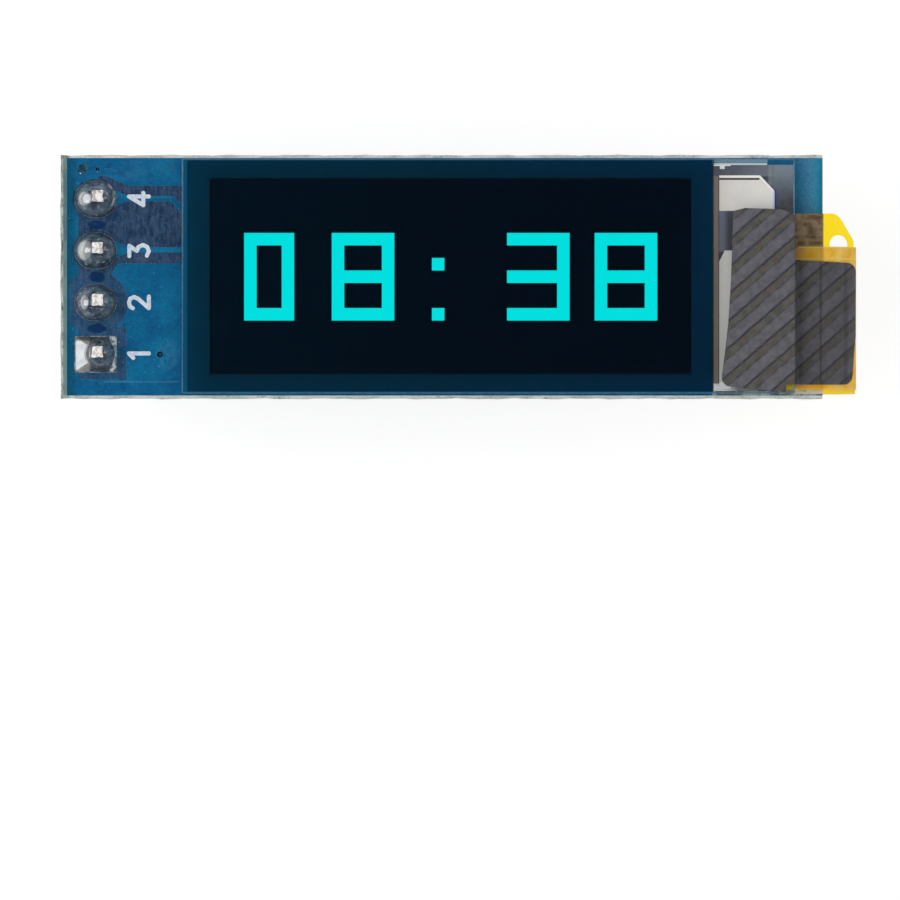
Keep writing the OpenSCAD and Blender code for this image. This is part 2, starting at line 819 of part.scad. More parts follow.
// Side of the tape, d above what it lies on, from the ledge down to the fold
function tape_side(d) = concat(
    [[tape_x0 - 1, glass_z1 + d], [tape_step_x + 0.8 * d, glass_z1 + d],
     [tape_foot_x + 0.8 * d, flex_top + flex_t / 2 + cover_t + d]],
    fold_points(flex_t / 2 + cover_t + d, 0.3)
);

// The tape's part on the glass is wider, and its inner edge is a slack curve
module tape_outline() {
    r = tape_corner_r;
    corner_y = tape_y0 + 0.28;
    edge_x = glass_x1 + 0.02;
    neck_y1 = neck_tape_y0 + tape_narrow;
    end_x = fold_x1 + 0.06;
    polygon(concat(
        arc([tape_x0 + r, corner_y + r], r, 180, 265), [
            [edge_x - 0.9, tape_y0 + 0.03], [edge_x - 0.47, tape_y0], [edge_x - 0.42, neck_tape_y0],
            [edge_x, neck_tape_y0],
            [edge_x, tape_y1 - 0.35], [edge_x - 0.25, tape_y1 - 0.22], [edge_x - 0.75, tape_y1 - 0.05],
            [tape_x0 + 1.15, tape_y1], [tape_x0 + 0.57, tape_y1 - 0.14], [tape_x0 + 0.45, tape_y0 + 5.5],
            [tape_x0 + 0.33, tape_y0 + 3.5], [tape_x0 + 0.16, tape_y0 + 2]
        ]
    ));
    polygon(concat(
        [[edge_x - 0.2, neck_tape_y0]],
        arc([end_x - 0.18 - r, neck_tape_y0 + r], r, -90, 0),
        [[end_x - 0.02, neck_tape_y0 + 0.4 * tape_narrow]],
        arc([end_x - r, neck_y1 - 0.13 - r], r, 0, 88),
        [[edge_x - 0.2, neck_y1]]
    ));
}

module shading_tape() {
    color("dimgray")
    intersection() {
        along_y(-board_w, board_w) polygon(concat(tape_side(0), reversed(tape_side(tape_t))));
        linear_extrude(screen_z + cut) tape_outline();
    }
}

// ---- Parts behind the board ----

module chip_body(i) {
    h = is_resistor(i) ? resistor_h : capacitor_h;
    skin = 0.02;
    color(is_resistor(i) ? "black" : "tan")
    behind_board(chip_x(i), chip_y(i)) translate([0, 0, skin])
        bevelled_block(chip_w - 2 * skin, chip_l - 2 * skin, h - 2 * skin, 0.03);
}

// Side view of the solder that climbs a chip's end, hollow like a quarter of an ellipse
module fillet_profile(foot, rise) {
    steps = 6;
    polygon(concat(
        [[0, 0]],
        [for (k = [steps:-1:0]) [foot * (1 - cos(k * 90 / steps)), rise * (1 - sin(k * 90 / steps))]]
    ));
}

// Two metal ends that cap the body, each with its fillet of solder on the pad
module chip_ends(i) {
    h = is_resistor(i) ? resistor_h : capacitor_h;
    skin = 0.02;
    side_gap = 0.04;
    color("silver")
    behind_board(chip_x(i), chip_y(i)) for (side = [0, 1]) mirror([0, side, 0]) {
        difference() {
            bevelled_block(chip_w, chip_l, h, 0.04);
            translate([0, 0, skin]) bevelled_block(chip_w - 2 * skin, chip_l - 2 * skin, h - 2 * skin, 0.03);
            translate([-chip_w, -chip_l, -cut]) cube([2 * chip_w, chip_l * 1.5 - chip_end, h + 2 * cut]);
        }
        translate([-chip_w / 2 + side_gap, chip_l / 2 - eps / 2, 0]) rotate([90, 0, 90])
            linear_extrude(chip_w - 2 * side_gap) fillet_profile(0.32, h * 0.6);
    }
}

// Moulded body whose four sides slope both ways from the leads' level
module regulator_body() {
    stand = 0.06;
    draft = 0.1;
    mid = regulator_h * 0.45;
    color("black")
    behind_board(regulator_x, regulator_y) translate([0, 0, stand]) intersection() {
        along_y(-regulator_w, regulator_w) polygon([
            [-regulator_l / 2 + draft, 0], [regulator_l / 2 - draft, 0], [regulator_l / 2, mid],
            [regulator_l / 2 - draft, regulator_h], [-regulator_l / 2 + draft, regulator_h],
            [-regulator_l / 2, mid]
        ]);
        rotate([0, 0, 90]) along_y(-regulator_l, regulator_l) polygon([
            [-regulator_w / 2 + draft, 0], [regulator_w / 2 - draft, 0], [regulator_w / 2, mid],
            [regulator_w / 2 - draft, regulator_h], [-regulator_w / 2 + draft, regulator_h],
            [-regulator_w / 2, mid]
        ]);
    }
}

// Gull-wing leads, two on one side and one on the other
module regulator_leads() {
    root = regulator_w / 2;
    knee_z = 0.06 + regulator_h * 0.45;
    out = foot_reach + 0.1;
    color("silver")
    behind_board(regulator_x, regulator_y)
        for (foot = [[-1, 1], [1, 1], [0, -1]])
            translate([foot.x * foot_pitch, 0, 0]) mirror([0, foot.y > 0 ? 0 : 1, 0])
                rotate([90, 0, 90]) translate([0, 0, -foot_w / 2]) linear_extrude(foot_w) polygon([
                    [root, knee_z - foot_t / 2], [root + 0.12, knee_z - foot_t / 2], [root + 0.27, 0],
                    [out + 0.2, 0], [out + 0.2, foot_t], [root + 0.37, foot_t],
                    [root + 0.22, knee_z + foot_t / 2], [root, knee_z + foot_t / 2]
                ]);
}

circuit_board();
front_copper();
back_copper();
front_solder_mask();
back_solder_mask();
header_housing();
mounting_tape();
cap_glass();
edge_seal();
pixel_layer();
display_glass();
polariser();
electrode_film();
driver_chip();
ledge_coat();
flex_circuit();
flex_cover();
flex_solder();
shading_tape();
regulator_body();
regulator_leads();
for (i = [1:pin_count]) {
    header_pin(i);
    pin_solder(i);
}
for (i = [0:chip_count - 1]) {
    chip_body(i);
    chip_ends(i);
}
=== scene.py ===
import math

import bpy
from mathutils import Matrix, Vector, noise


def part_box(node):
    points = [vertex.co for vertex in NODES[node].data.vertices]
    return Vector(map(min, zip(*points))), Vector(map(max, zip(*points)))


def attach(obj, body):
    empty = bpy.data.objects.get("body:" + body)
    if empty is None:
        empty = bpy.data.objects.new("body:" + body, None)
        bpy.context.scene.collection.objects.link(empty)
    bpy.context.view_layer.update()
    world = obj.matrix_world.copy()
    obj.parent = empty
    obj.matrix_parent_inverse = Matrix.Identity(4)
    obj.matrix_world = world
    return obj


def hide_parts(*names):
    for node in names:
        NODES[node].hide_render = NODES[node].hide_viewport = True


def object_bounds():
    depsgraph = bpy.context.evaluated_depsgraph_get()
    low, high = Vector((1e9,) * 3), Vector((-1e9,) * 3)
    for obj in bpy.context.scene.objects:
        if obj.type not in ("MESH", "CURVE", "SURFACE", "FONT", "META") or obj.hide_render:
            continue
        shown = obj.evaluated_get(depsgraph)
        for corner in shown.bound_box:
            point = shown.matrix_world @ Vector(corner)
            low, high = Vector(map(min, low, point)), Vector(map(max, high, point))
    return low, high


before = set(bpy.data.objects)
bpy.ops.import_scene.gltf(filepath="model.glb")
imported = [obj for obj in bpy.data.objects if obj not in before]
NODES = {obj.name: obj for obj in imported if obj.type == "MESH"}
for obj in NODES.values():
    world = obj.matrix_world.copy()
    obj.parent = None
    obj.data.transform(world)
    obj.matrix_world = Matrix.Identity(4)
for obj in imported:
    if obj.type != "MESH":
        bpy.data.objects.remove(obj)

# ---------------- places, taken from the parts in model.glb

CAD_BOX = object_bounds()


def box_mm(name):
    """A node's lowest and highest corner, in millimetres."""
    lo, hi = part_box(name)
    return Vector(lo) * 1000, Vector(hi) * 1000


BOARD = box_mm("circuit_board")
MASK = box_mm("front_solder_mask")
COPPER = box_mm("front_copper")
GLASS = box_mm("display_glass")
POLARISER = box_mm("polariser")
PIXELS = box_mm("pixel_layer")
FILM = box_mm("electrode_film")
COAT = box_mm("ledge_coat")
FLEX = box_mm("flex_circuit")
COVER = box_mm("flex_cover")
TAPE = box_mm("shading_tape")
PIN_NAMES = [f"header_pin_{i}" for i in range(1, 5)]
PINS = [box_mm(name) for name in PIN_NAMES]
PIN_Y = [(lo.y + hi.y) / 2 for lo, hi in PINS]
FACE_Z = MASK[1].z
LEDGE_X = POLARISER[1].x
FILM_TOP = GLASS[1].y - 0.81  # of the main field: the alignment marks reach higher
PIN_PITCH = PIN_Y[1] - PIN_Y[0]
MIDDLE = (BOARD[0] + BOARD[1]) / 2
SMOOTH_ANGLE = 40  # degrees between facets that are shaded as one face
GLASS_RISE = 0.004
GLASS_IOR = 1.5


def srgb(r, g, b):
    """A screen colour, 0 to 255, as linear RGBA."""
    lin = [c / 255 / 12.92 if c <= 10 else ((c / 255 + 0.055) / 1.055) ** 2.4 for c in (r, g, b)]
    return (*lin, 1.0)


# ---------------- short helpers for shader nodes


class Look:
    """A material under construction. Its patterns are measured in millimetres."""

    def __init__(self, name):
        self.material = bpy.data.materials.new(name)
        self.material.use_nodes = True
        self.tree = self.material.node_tree
        self.tree.nodes.clear()
        coords = self.node("ShaderNodeTexCoord")
        scaled = self.node("ShaderNodeVectorMath", operation="SCALE")
        scaled.inputs["Scale"].default_value = 1000
        self.link(coords.outputs["Object"], scaled.inputs[0])
        self.p = scaled.outputs[0]
        split = self.node("ShaderNodeSeparateXYZ")
        self.link(self.p, split.inputs[0])
        self.x, self.y, self.z = split.outputs
        self._normal = None

    def node(self, kind, **settings):
        made = self.tree.nodes.new(kind)
        for key, value in settings.items():
            setattr(made, key, value)
        return made

    def link(self, a, b):
        self.tree.links.new(a, b)

    def feed(self, socket, value):
        """Links a socket, or sets it when the value is a constant."""
        if isinstance(value, bpy.types.NodeSocket):
            self.link(value, socket)
        elif value is not None:
            socket.default_value = value

    def op(self, kind, a, b=None):
        made = self.node("ShaderNodeMath", operation=kind)
        self.feed(made.inputs[0], a)
        self.feed(made.inputs[1], b)
        return made.outputs[0]

    def add(self, a, b):
        return self.op("ADD", a, b)

    def mul(self, a, b):
        return self.op("MULTIPLY", a, b)

    def both(self, *masks):
        out = masks[0]
        for m in masks[1:]:
            out = self.mul(out, m)
        return out

    def either(self, *masks):
        out = masks[0]
        for m in masks[1:]:
            out = self.op("MAXIMUM", out, m)
        return out

    def invert(self, a):
        return self.op("SUBTRACT", 1.0, a)

    def fit(self, value, a, b, lo=0.0, hi=1.0, smooth=True):
        """Maps value from a..b to lo..hi."""
        made = self.node("ShaderNodeMapRange", interpolation_type="SMOOTHSTEP" if smooth else "LINEAR")
        for socket, v in zip(made.inputs, (value, a, b, lo, hi)):
            self.feed(socket, v)
        return made.outputs[0]

    def above(self, value, edge, soft=0.02):
        return self.fit(value, edge - soft, edge + soft)

    def below(self, value, edge, soft=0.02):
        return self.invert(self.above(value, edge, soft))

    def between(self, value, lo, hi, soft=0.02):
        return self.mul(self.above(value, lo, soft), self.below(value, hi, soft))

    def area(self, x0, x1, y0, y1, soft=0.02):
        return self.mul(self.between(self.x, x0, x1, soft), self.between(self.y, y0, y1, soft))

    def distance(self, cx, cy, sx=1.0, sy=1.0):
        """Distance in the XY plane from a point, with stretched axes."""
        dx = self.mul(self.op("SUBTRACT", self.x, cx), 1 / sx)
        dy = self.mul(self.op("SUBTRACT", self.y, cy), 1 / sy)
        return self.op("SQRT", self.add(self.mul(dx, dx), self.mul(dy, dy)))

    def disc(self, cx, cy, r, soft=0.03):
        return self.below(self.distance(cx, cy), r, soft)

    def noise(self, scale, detail=2.0, rough=0.5, stretch=(1, 1, 1), shift=(0, 0, 0)):
        moved = self.node("ShaderNodeMapping", vector_type="POINT")
        self.link(self.p, moved.inputs["Vector"])
        moved.inputs["Scale"].default_value = stretch
        moved.inputs["Location"].default_value = shift
        made = self.node("ShaderNodeTexNoise")
        self.link(moved.outputs[0], made.inputs["Vector"])
        for key, v in (("Scale", scale), ("Detail", detail), ("Roughness", rough)):
            made.inputs[key].default_value = v
        return made.outputs["Fac"]

    def wobble(self, amount, *pattern):
        """A noise that swings about nought by half the amount."""
        return self.mul(self.op("SUBTRACT", self.noise(*pattern), 0.5), amount)

    def waves(self, value, period):
        return self.op("SINE", self.mul(value, 2 * math.pi / period))

    def dots(self, pitch, lo, hi):
        """Soft dots in rows and columns, from lo between them to hi."""
        both = self.add(self.waves(self.y, pitch), self.waves(self.x, pitch))
        return self.fit(both, -2, 2, lo, hi, False)

    def cells(self, scale):
        made = self.node("ShaderNodeTexVoronoi")
        self.link(self.p, made.inputs["Vector"])
        made.inputs["Scale"].default_value = scale
        return made.outputs["Distance"]

    def mix(self, fac, a, b, blend="MIX"):
        made = self.node("ShaderNodeMix", data_type="RGBA", blend_type=blend)
        self.feed(made.inputs[0], fac)
        self.feed(made.inputs[6], a)
        self.feed(made.inputs[7], b)
        return made.outputs[2]

    def wash(self, colour, *layers):
        """Lays screen colours over a colour. Each layer is its mask, its share and its red, green and blue."""
        for mask, share, *rgb in layers:
            colour = self.mix(self.mul(mask, share), colour, srgb(*rgb))
        return colour

    def patches(self, lo, hi, *pattern, **more):
        """0 where a noise is under lo, 1 where it is over hi. The rest says what the noise is."""
        return self.fit(self.noise(*pattern, **more), lo, hi)

    def tones(self, fac, a, b):
        """From one screen colour to another."""
        return self.mix(fac, srgb(*a), srgb(*b))

    def mottle(self, pattern, lo, hi, a, b):
        """Patches of two screen colours."""
        return self.tones(self.patches(lo, hi, *pattern), a, b)

    def speckle(self, colour, scale, amount):
        """Lightens and darkens a colour by a fine noise."""
        n = self.noise(scale, 3)
        return self.dim(colour, self.fit(n, 0.25, 0.75, 1 - amount, 1 + amount, False))

    def dim(self, colour, share):
        return self.mix(1.0, colour, self.grey(share), "MULTIPLY")

    def grey(self, value):
        made = self.node("ShaderNodeCombineColor")
        for socket in made.inputs[:3]:
            self.feed(socket, value)
        return made.outputs[0]

    def bump(self, height, distance, strength=1.0):
        """Adds a bump whose height, from 0 to 1, stands for distance millimetres."""
        made = self.node("ShaderNodeBump")
        self.feed(made.inputs["Height"], height)
        made.inputs["Distance"].default_value = distance / 1000
        made.inputs["Strength"].default_value = strength
        if self._normal:
            self.link(self._normal, made.inputs["Normal"])
        self._normal = made.outputs[0]

    def grain(self, distance, *pattern):
        """A bump by a noise."""
        self.bump(self.noise(*pattern), distance)

    def bumped(self, made):
        """Gives a shader the bumps so far."""
        if self._normal:
            self.link(self._normal, made.inputs["Normal"])
        return made.outputs[0]

    def surface(self, colour, rough=0.5, metal=0.0, specular=0.5):
        made = self.node("ShaderNodeBsdfPrincipled")
        for key, v in (("Base Color", colour), ("Roughness", rough), ("Metallic", metal),
                       ("Specular IOR Level", specular), ("IOR", GLASS_IOR)):
            self.feed(made.inputs[key], v)
        return self.bumped(made)

    def ray(self, output):
        return self.node("ShaderNodeLightPath").outputs[output]

    def geometry(self, output):
        return self.node("ShaderNodeNewGeometry").outputs[output]

    def clear(self, tint=(1, 1, 1, 1)):
        made = self.node("ShaderNodeBsdfTransparent")
        self.feed(made.inputs[0], tint)
        return made.outputs[0]

    def thick_glass(self):
        """Bends what is seen through it. Light on what lies behind goes straight through."""
        glass = self.node("ShaderNodeBsdfGlass")
        glass.inputs["Roughness"].default_value = 0.0
        glass.inputs["IOR"].default_value = GLASS_IOR
        lighting = self.either(self.ray("Is Shadow Ray"), self.ray("Is Diffuse Ray"))
        return self.blend(lighting, glass.outputs[0], self.clear())

    def gloss(self, rough):
        made = self.node("ShaderNodeBsdfAnisotropic")
        made.inputs["Color"].default_value = (1, 1, 1, 1)
        made.inputs["Roughness"].default_value = rough
        return self.bumped(made)

    def fresnel(self, ior):
        """Mirror share of a face met from outside; none from inside."""
        made = self.node("ShaderNodeFresnel")
        made.inputs["IOR"].default_value = ior
        return self.mul(made.outputs[0], self.invert(self.geometry("Backfacing")))

    def face_tilt(self):
        """The upward part of a face's own direction, whichever side a ray meets it from."""
        split = self.node("ShaderNodeSeparateXYZ")
        self.link(self.geometry("True Normal"), split.inputs[0])
        return self.mul(split.outputs[2], self.fit(self.geometry("Backfacing"), 0, 1, 1, -1, False))

    def facing_up(self):
        return self.above(self.face_tilt(), 0.9, 0.04)

    def upright(self):
        """1 on the sides, 0 on tops, undersides and bevels."""
        return self.below(self.op("ABSOLUTE", self.face_tilt()), 0.4, 0.1)

    def flush(self, shader):
        """For a piece that lies flush under another: light leaves it as if it had one side only."""
        within = self.mul(self.geometry("Backfacing"), self.invert(self.ray("Is Camera Ray")))
        return self.blend(within, shader, self.clear())

    def edges(self, reach):
        """1 within a reach of the mesh's own sharp edges, in millimetres."""
        made = self.node("ShaderNodeBevel", samples=4)
        made.inputs["Radius"].default_value = reach / 1000
        dot = self.node("ShaderNodeVectorMath", operation="DOT_PRODUCT")
        self.link(made.outputs[0], dot.inputs[0])
        self.link(self.geometry("True Normal"), dot.inputs[1])
        return self.invert(self.fit(self.op("ABSOLUTE", dot.outputs["Value"]), 0.75, 0.98))

    def blend(self, fac, a, b):
        made = self.node("ShaderNodeMixShader")
        self.feed(made.inputs[0], fac)
        self.link(a, made.inputs[1])
        self.link(b, made.inputs[2])
        return made.outputs[0]

    def done(self, shader):
        out = self.node("ShaderNodeOutputMaterial")
        self.link(shader, out.inputs["Surface"])
        return self.material


def recipe(shader_of):
    """Turns a function that builds a look's shader into one that makes the material, named as it is."""

    def make():
        look = Look(shader_of.__name__)
        return look.done(shader_of(look))

    return make


def dress(material, *names):
    """Gives CAD nodes their material."""
    for name in names:
        mesh = NODES[name].data
        mesh.materials.clear()
        mesh.materials.append(material)


def round_shading(name):
    """Shades the facets of a node's curves as one smooth face. No vertex moves."""
    mesh = NODES[name].data
    keys = [tuple(round(c * 1e7) for c in v.co) for v in mesh.vertices]
    around = {}
    for poly in mesh.polygons:
        for v in poly.vertices:
            around.setdefault(keys[v], []).append(poly)
    least = math.cos(math.radians(SMOOTH_ANGLE))
    normals = []
    for poly in mesh.polygons:
        for v in poly.vertices:
            total = Vector()
            for other in around[keys[v]]:
                if other.normal.dot(poly.normal) > least:
                    total += other.normal * other.area
            normals.append(total.normalized() if total.length else poly.normal.copy())
    mesh.polygons.foreach_set("use_smooth", [True] * len(mesh.polygons))
    mesh.normals_split_custom_set(normals)


def place(name, data):
    made = bpy.data.objects.new(name, data)
    bpy.context.scene.collection.objects.link(made)
    return made


def own_piece(name, mesh, material):
    """A piece of this script's own. It rides on the one body."""
    mesh.materials.append(material)
    made = place(name, mesh)
    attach(made, "root")
    return made


def piece(name, points, faces, material, smooth=True):
    """A new piece from points in millimetres."""
    mesh = bpy.data.meshes.new(name)
    mesh.from_pydata([(x / 1000, y / 1000, z / 1000) for x, y, z in points], [], faces)
    mesh.polygons.foreach_set("use_smooth", [smooth] * len(mesh.polygons))
    mesh.update()
    return own_piece(name, mesh, material)


def circle(steps):
    """Cosine and sine all the way round, in even steps."""
    return [(math.cos(2 * math.pi * a / steps), math.sin(2 * math.pi * a / steps)) for a in range(steps)]


def band(first, second, count):
    """Quads between two rings of points, given by the number of each ring's first point."""
    return [(first + a, first + (a + 1) % count, second + (a + 1) % count, second + a) for a in range(count)]


# ---------------- camera, floor and light

VIEW_HEIGHT = 300.0
VIEW_WIDTH = 44.25
VIEW_SHIFT = (0.44, -8.52)  # from the board's middle to the picture's
FLOOR_HALF = 2  # metres


def make_camera():
    """Looks straight down from the photograph's place."""
    data = bpy.data.cameras.new("camera")
    data.lens = data.sensor_width * VIEW_HEIGHT / VIEW_WIDTH
    data.clip_start, data.clip_end = 0.01, 10
    camera = place("camera", data)
    camera.location = Vector((MIDDLE.x + VIEW_SHIFT[0], MIDDLE.y + VIEW_SHIFT[1], FACE_Z + VIEW_HEIGHT)) / 1000
    bpy.context.scene.camera = camera


def make_floor():
    look = Look("pale_floor")
    seen = look.ray("Is Camera Ray")
    pale = look.mix(seen, srgb(236, 236, 235), (0.42, 0.42, 0.42, 1))
    soft = look.surface(look.speckle(pale, 0.3, 0.004), rough=0.9, specular=0.0)
    lift = look.node("ShaderNodeEmission")
    look.feed(lift.inputs["Strength"], look.mul(seen, 0.70))
    both = look.node("ShaderNodeAddShader")
    look.link(soft, both.inputs[0])
    look.link(lift.outputs[0], both.inputs[1])
    mesh = bpy.data.meshes.new("floor")
    corners = [(x * FLOOR_HALF, y * FLOOR_HALF, CAD_BOX[0].z) for x, y in ((-1, -1), (1, -1), (1, 1), (-1, 1))]
    mesh.from_pydata(corners, [], [(0, 1, 2, 3)])
    mesh.materials.append(look.done(both.outputs[0]))
    place("floor", mesh)


def make_world():
    """Even pale light. Gloss meets a dark room, paler at table height."""
    world = bpy.data.worlds.new("studio")
    bpy.context.scene.world = world
    world.use_nodes = True
    tree = world.node_tree
    tree.nodes.clear()
    add, link = tree.nodes.new, tree.links.new
    coords, split, path = add("ShaderNodeTexCoord"), add("ShaderNodeSeparateXYZ"), add("ShaderNodeLightPath")
    link(coords.outputs["Generated"], split.inputs[0])
    ceiling = add("ShaderNodeMapRange")
    ceiling.interpolation_type = "SMOOTHSTEP"
    for socket, v in zip(ceiling.inputs[1:5], (0.0, 0.14, 0.35, 0.045)):
        socket.default_value = v
    link(split.outputs[2], ceiling.inputs[0])
    met = add("ShaderNodeMix")
    met.inputs[2].default_value = 0.68
    link(path.outputs["Is Glossy Ray"], met.inputs[0])
    link(ceiling.outputs[0], met.inputs[3])
    seen = add("ShaderNodeMix")
    seen.inputs[3].default_value = 1.0
    link(path.outputs["Is Camera Ray"], seen.inputs[0])
    link(met.outputs[0], seen.inputs[2])
    back, out = add("ShaderNodeBackground"), add("ShaderNodeOutputWorld")
    back.inputs[0].default_value = (1, 1, 1, 1)
    link(seen.outputs[0], back.inputs[1])
    link(back.outputs[0], out.inputs[0])


def make_lamp(name, offset, size, watts):
    """A softbox that looks at the board's middle. Its offset from there and its size are in metres."""
    data = bpy.data.lights.new(name, "AREA")
    data.shape = "RECTANGLE"
    data.size, data.size_y = size
    data.energy = watts
    lamp = place(name, data)
    lamp.location = MIDDLE / 1000 + Vector(offset)
    lamp.rotation_euler = Vector(offset).to_track_quat("Z", "Y").to_euler()


def make_lights():
    make_world()
    make_lamp("softbox_left", (-0.32, 0.02, 0.27), (0.38, 0.46), 0.80)
    make_lamp("softbox_right", (0.36, 0.06, 0.12), (0.10, 0.30), 0.20)


# ---------------- board and header


@recipe
def laminate(look):
    """Broken glass-epoxy: pale fibres, grey-green resin, dark specks along the snapped edge."""
    patch = look.patches(0.35, 0.65, 0.9, 3)
    fibre = look.patches(0.4, 0.62, 9, 4, 0.7)
    layer = look.patches(0.35, 0.65, 1.5, 2, 0.5, (0.4, 0.4, 14))
    outer = look.either(look.below(look.x, BOARD[0].x + 0.17, 0.03),
                        look.above(look.op("ABSOLUTE", look.y), MASK[1].y - 0.02))
    edge = look.tones(patch, (168, 180, 172), (222, 226, 222))
    edge = look.wash(edge, (fibre, 0.6, 240, 242, 238), (layer, 0.25, 140, 150, 128))
    end = look.invert(look.fit(look.x, BOARD[0].x + 0.02, BOARD[0].x + 0.1))
    broken = look.mottle((2.6, 4, 0.65, (1, 0.6, 1), (2, 2, 6)), 0.36, 0.60, (84, 98, 90), (176, 186, 178))
    torn = look.mul(look.below(look.x, BOARD[0].x + 0.5), look.invert(look.mul(end, 0.6)))
    edge = look.mix(torn, edge, broken)
    dark = look.patches(0.60, 0.70, 2.2, 3, 0.6, shift=(4, 9, 2))
    edge = look.wash(edge, (dark, 0.6, 104, 112, 94))
    inside = look.tones(patch, (76, 110, 118), (104, 132, 132))
    colour = look.mix(outer, inside, edge)
    look.grain(0.05, 7, 4, 0.7)
    look.bump(layer, 0.02, 0.6)
    return look.surface(colour, rough=0.7, specular=0.3)


def board_blues(look, z_copper, up):
    """The lacquer's two colours: bright over copper, violet-grey over bare laminate."""
    over_copper = look.above(look.mul(look.z, up), z_copper * up - 0.0125, 0.004)
    lo, hi = MASK
    inset = 0.13
    margin = look.invert(look.area(lo.x + inset, hi.x - inset, lo.y + inset, hi.y - inset, 0.01))
    over_copper = look.either(over_copper, margin)
    copper = look.mottle((0.5, 4, 0.65), 0.36, 0.66, (0, 88, 136), (2, 108, 152))
    brushed = look.patches(0.42, 0.75, 2.4, 4, 0.7, (1, 3, 1))
    copper = look.wash(copper, (brushed, 0.35, 8, 124, 166))
    bare = look.mottle((2.2, 3, 0.65, (3.2, 0.8, 1)), 0.38, 0.66, (52, 80, 112), (30, 56, 86))
    lilac = look.patches(0.5, 0.68, 0.9, 3, 0.6, shift=(3, 3, 3))
    bare = look.wash(bare, (lilac, 0.5, 72, 88, 122), (look.patches(0.52, 0.7, 5, 2), 0.4, 80, 98, 134))
    return over_copper, copper, bare


@recipe
def front_lacquer(look):
    """Blue solder mask, with what shows through it near the header."""
    over_copper, copper, bare = board_blues(look, FACE_Z, 1)
    x0, x1, top = BOARD[0].x, BOARD[1].x, BOARD[1].y
    copper = look.wash(copper, (look.invert(look.fit(look.x, x0 + 0.5, x0 + 1.0)), 0.9, 0, 82, 112))
    # painted light: the copper is painted paler towards the board's right end
    copper = look.mix(look.fit(look.x, GLASS[1].x - 0.5, x1), copper, srgb(74, 136, 168))
    copper = look.mix(look.fit(look.x, x1 - 0.7, x1), copper, srgb(10, 128, 160))
    # traces from the pins catch more light than the field
    trace = look.either(look.area(0.6, 4.3, PIN_Y[3] + 0.05, PIN_Y[3] + 0.35, 0.05),
                        look.area(0.6, 4.3, PIN_Y[2] - 0.2, PIN_Y[2] + 0.15, 0.05))
    copper = look.wash(copper, (trace, 0.6, 14, 122, 162))
    lower = look.invert(look.fit(look.y, PIN_Y[1] + 0.8, PIN_Y[1] + 1.8, 0.64, 1.0))
    bare = look.mix(lower, bare, srgb(40, 94, 136))
    colour = look.mix(over_copper, bare, copper)
    # painted highlight: a paler line along the edges of the copper, where the lacquer slopes over them
    rim = look.both(look.edges(0.05), look.area(x0 + 0.75, GLASS[0].x - 0.05, -top + 0.45, top - 0.45))
    colour = look.mix(look.mul(rim, look.fit(look.noise(1.5, 2), 0.35, 0.6, 0.2, 0.75)), colour, srgb(66, 134, 172))
    wander = look.wobble(1.6, 2.6, 3, 0.55)
    for n in range(3):
        middle = (PIN_Y[n] + PIN_Y[n + 1]) / 2
        stain = look.add(look.distance(0.06, middle, 0.46, 0.26), wander)
        colour = look.wash(colour, (look.invert(look.fit(stain, 0.75, 1.0)), 0.9, 2, 44, 92))
    ghost = look.mul(look.patches(0.54, 0.66, 1.6, 3, 0.6, shift=(9, 2, 5)),
                     look.area(-1.3, 1.6, -top + 0.3, top - 0.3, 0.2))
    shade = look.area(0.62, 1.2, PIN_Y[3] - 1.1, PIN_Y[3] - 0.66, 0.08)
    # painted reflection: a paler patch on the lacquer right of the first pin
    pale_patch = look.mul(look.fit(look.distance(3.55, PIN_Y[0] - 0.05, 1, 1.25), 0.75, 0.35), look.patches(0.3, 0.7, 5, 3))
    bloom = look.mul(look.area(0.6, GLASS[0].x - 0.3, top - 1.2, top - 0.3, 0.2),
                     look.patches(0.4, 0.65, 1.3, 3, 0.6, (0.5, 1, 1)))
    low = look.area(0.4, 1.7, -top + 0.36, -top + 0.82, 0.04)
    line = look.area(0.4, 4.1, -top + 0.84, -top + 0.90)
    colour = look.wash(colour, (ghost, 0.55, 22, 56, 94), (shade, 0.5, 10, 44, 92), (pale_patch, 0.35, 70, 124, 166),
                       (bloom, 0.4, 52, 110, 148), (low, 0.45, 0, 78, 134), (line, 0.25, 100, 150, 180))
    glue = look.both(look.above(look.x, LEDGE_X, 0.03), look.below(look.x, x1 - 0.25, 0.2),
                     look.below(look.y, -top + 0.48, 0.03))
    chips = look.mottle((1.6, 3, 0.6, (1, 0.5, 1)), 0.42, 0.58, (104, 112, 112), (176, 192, 190))
    chips = look.mix(look.patches(0.6, 0.68, 3.1, 2, 0.5, shift=(7, 7, 7)), chips, srgb(30, 88, 98))
    colour = look.mix(look.mul(glue, 0.85), colour, chips)
    dust = look.above(look.noise(11, 2, 0.6, shift=(3, 1, 0)), 0.72, 0.015)
    colour = look.speckle(look.wash(colour, (dust, 0.5, 120, 175, 200)), 12, 0.22)
    look.grain(0.004, 3, 3)
    look.grain(0.002, 16, 2)
    return look.surface(colour, rough=0.3, specular=0.15)


@recipe
def back_lacquer(look):
    over_copper, copper, bare = board_blues(look, box_mm("back_solder_mask")[0].z, -1)
    colour = look.speckle(look.mix(over_copper, bare, copper), 14, 0.1)
    look.grain(0.004, 3, 3)
    return look.surface(colour, rough=0.25, specular=0.4)


@recipe
def tinned_copper(look):
    colour = look.mottle((6, 4, 0.6), 0.35, 0.65, (196, 190, 182), (176, 160, 140))
    look.grain(0.006, 9, 3)
    return look.surface(colour, rough=0.32, metal=0.9)


@recipe
def header_plastic(look):
    look.grain(0.004, 30, 3, 0.6)
    look.grain(0.01, 2.5, 2)
    return look.surface(look.speckle(srgb(26, 26, 28), 5, 0.25), rough=0.42)


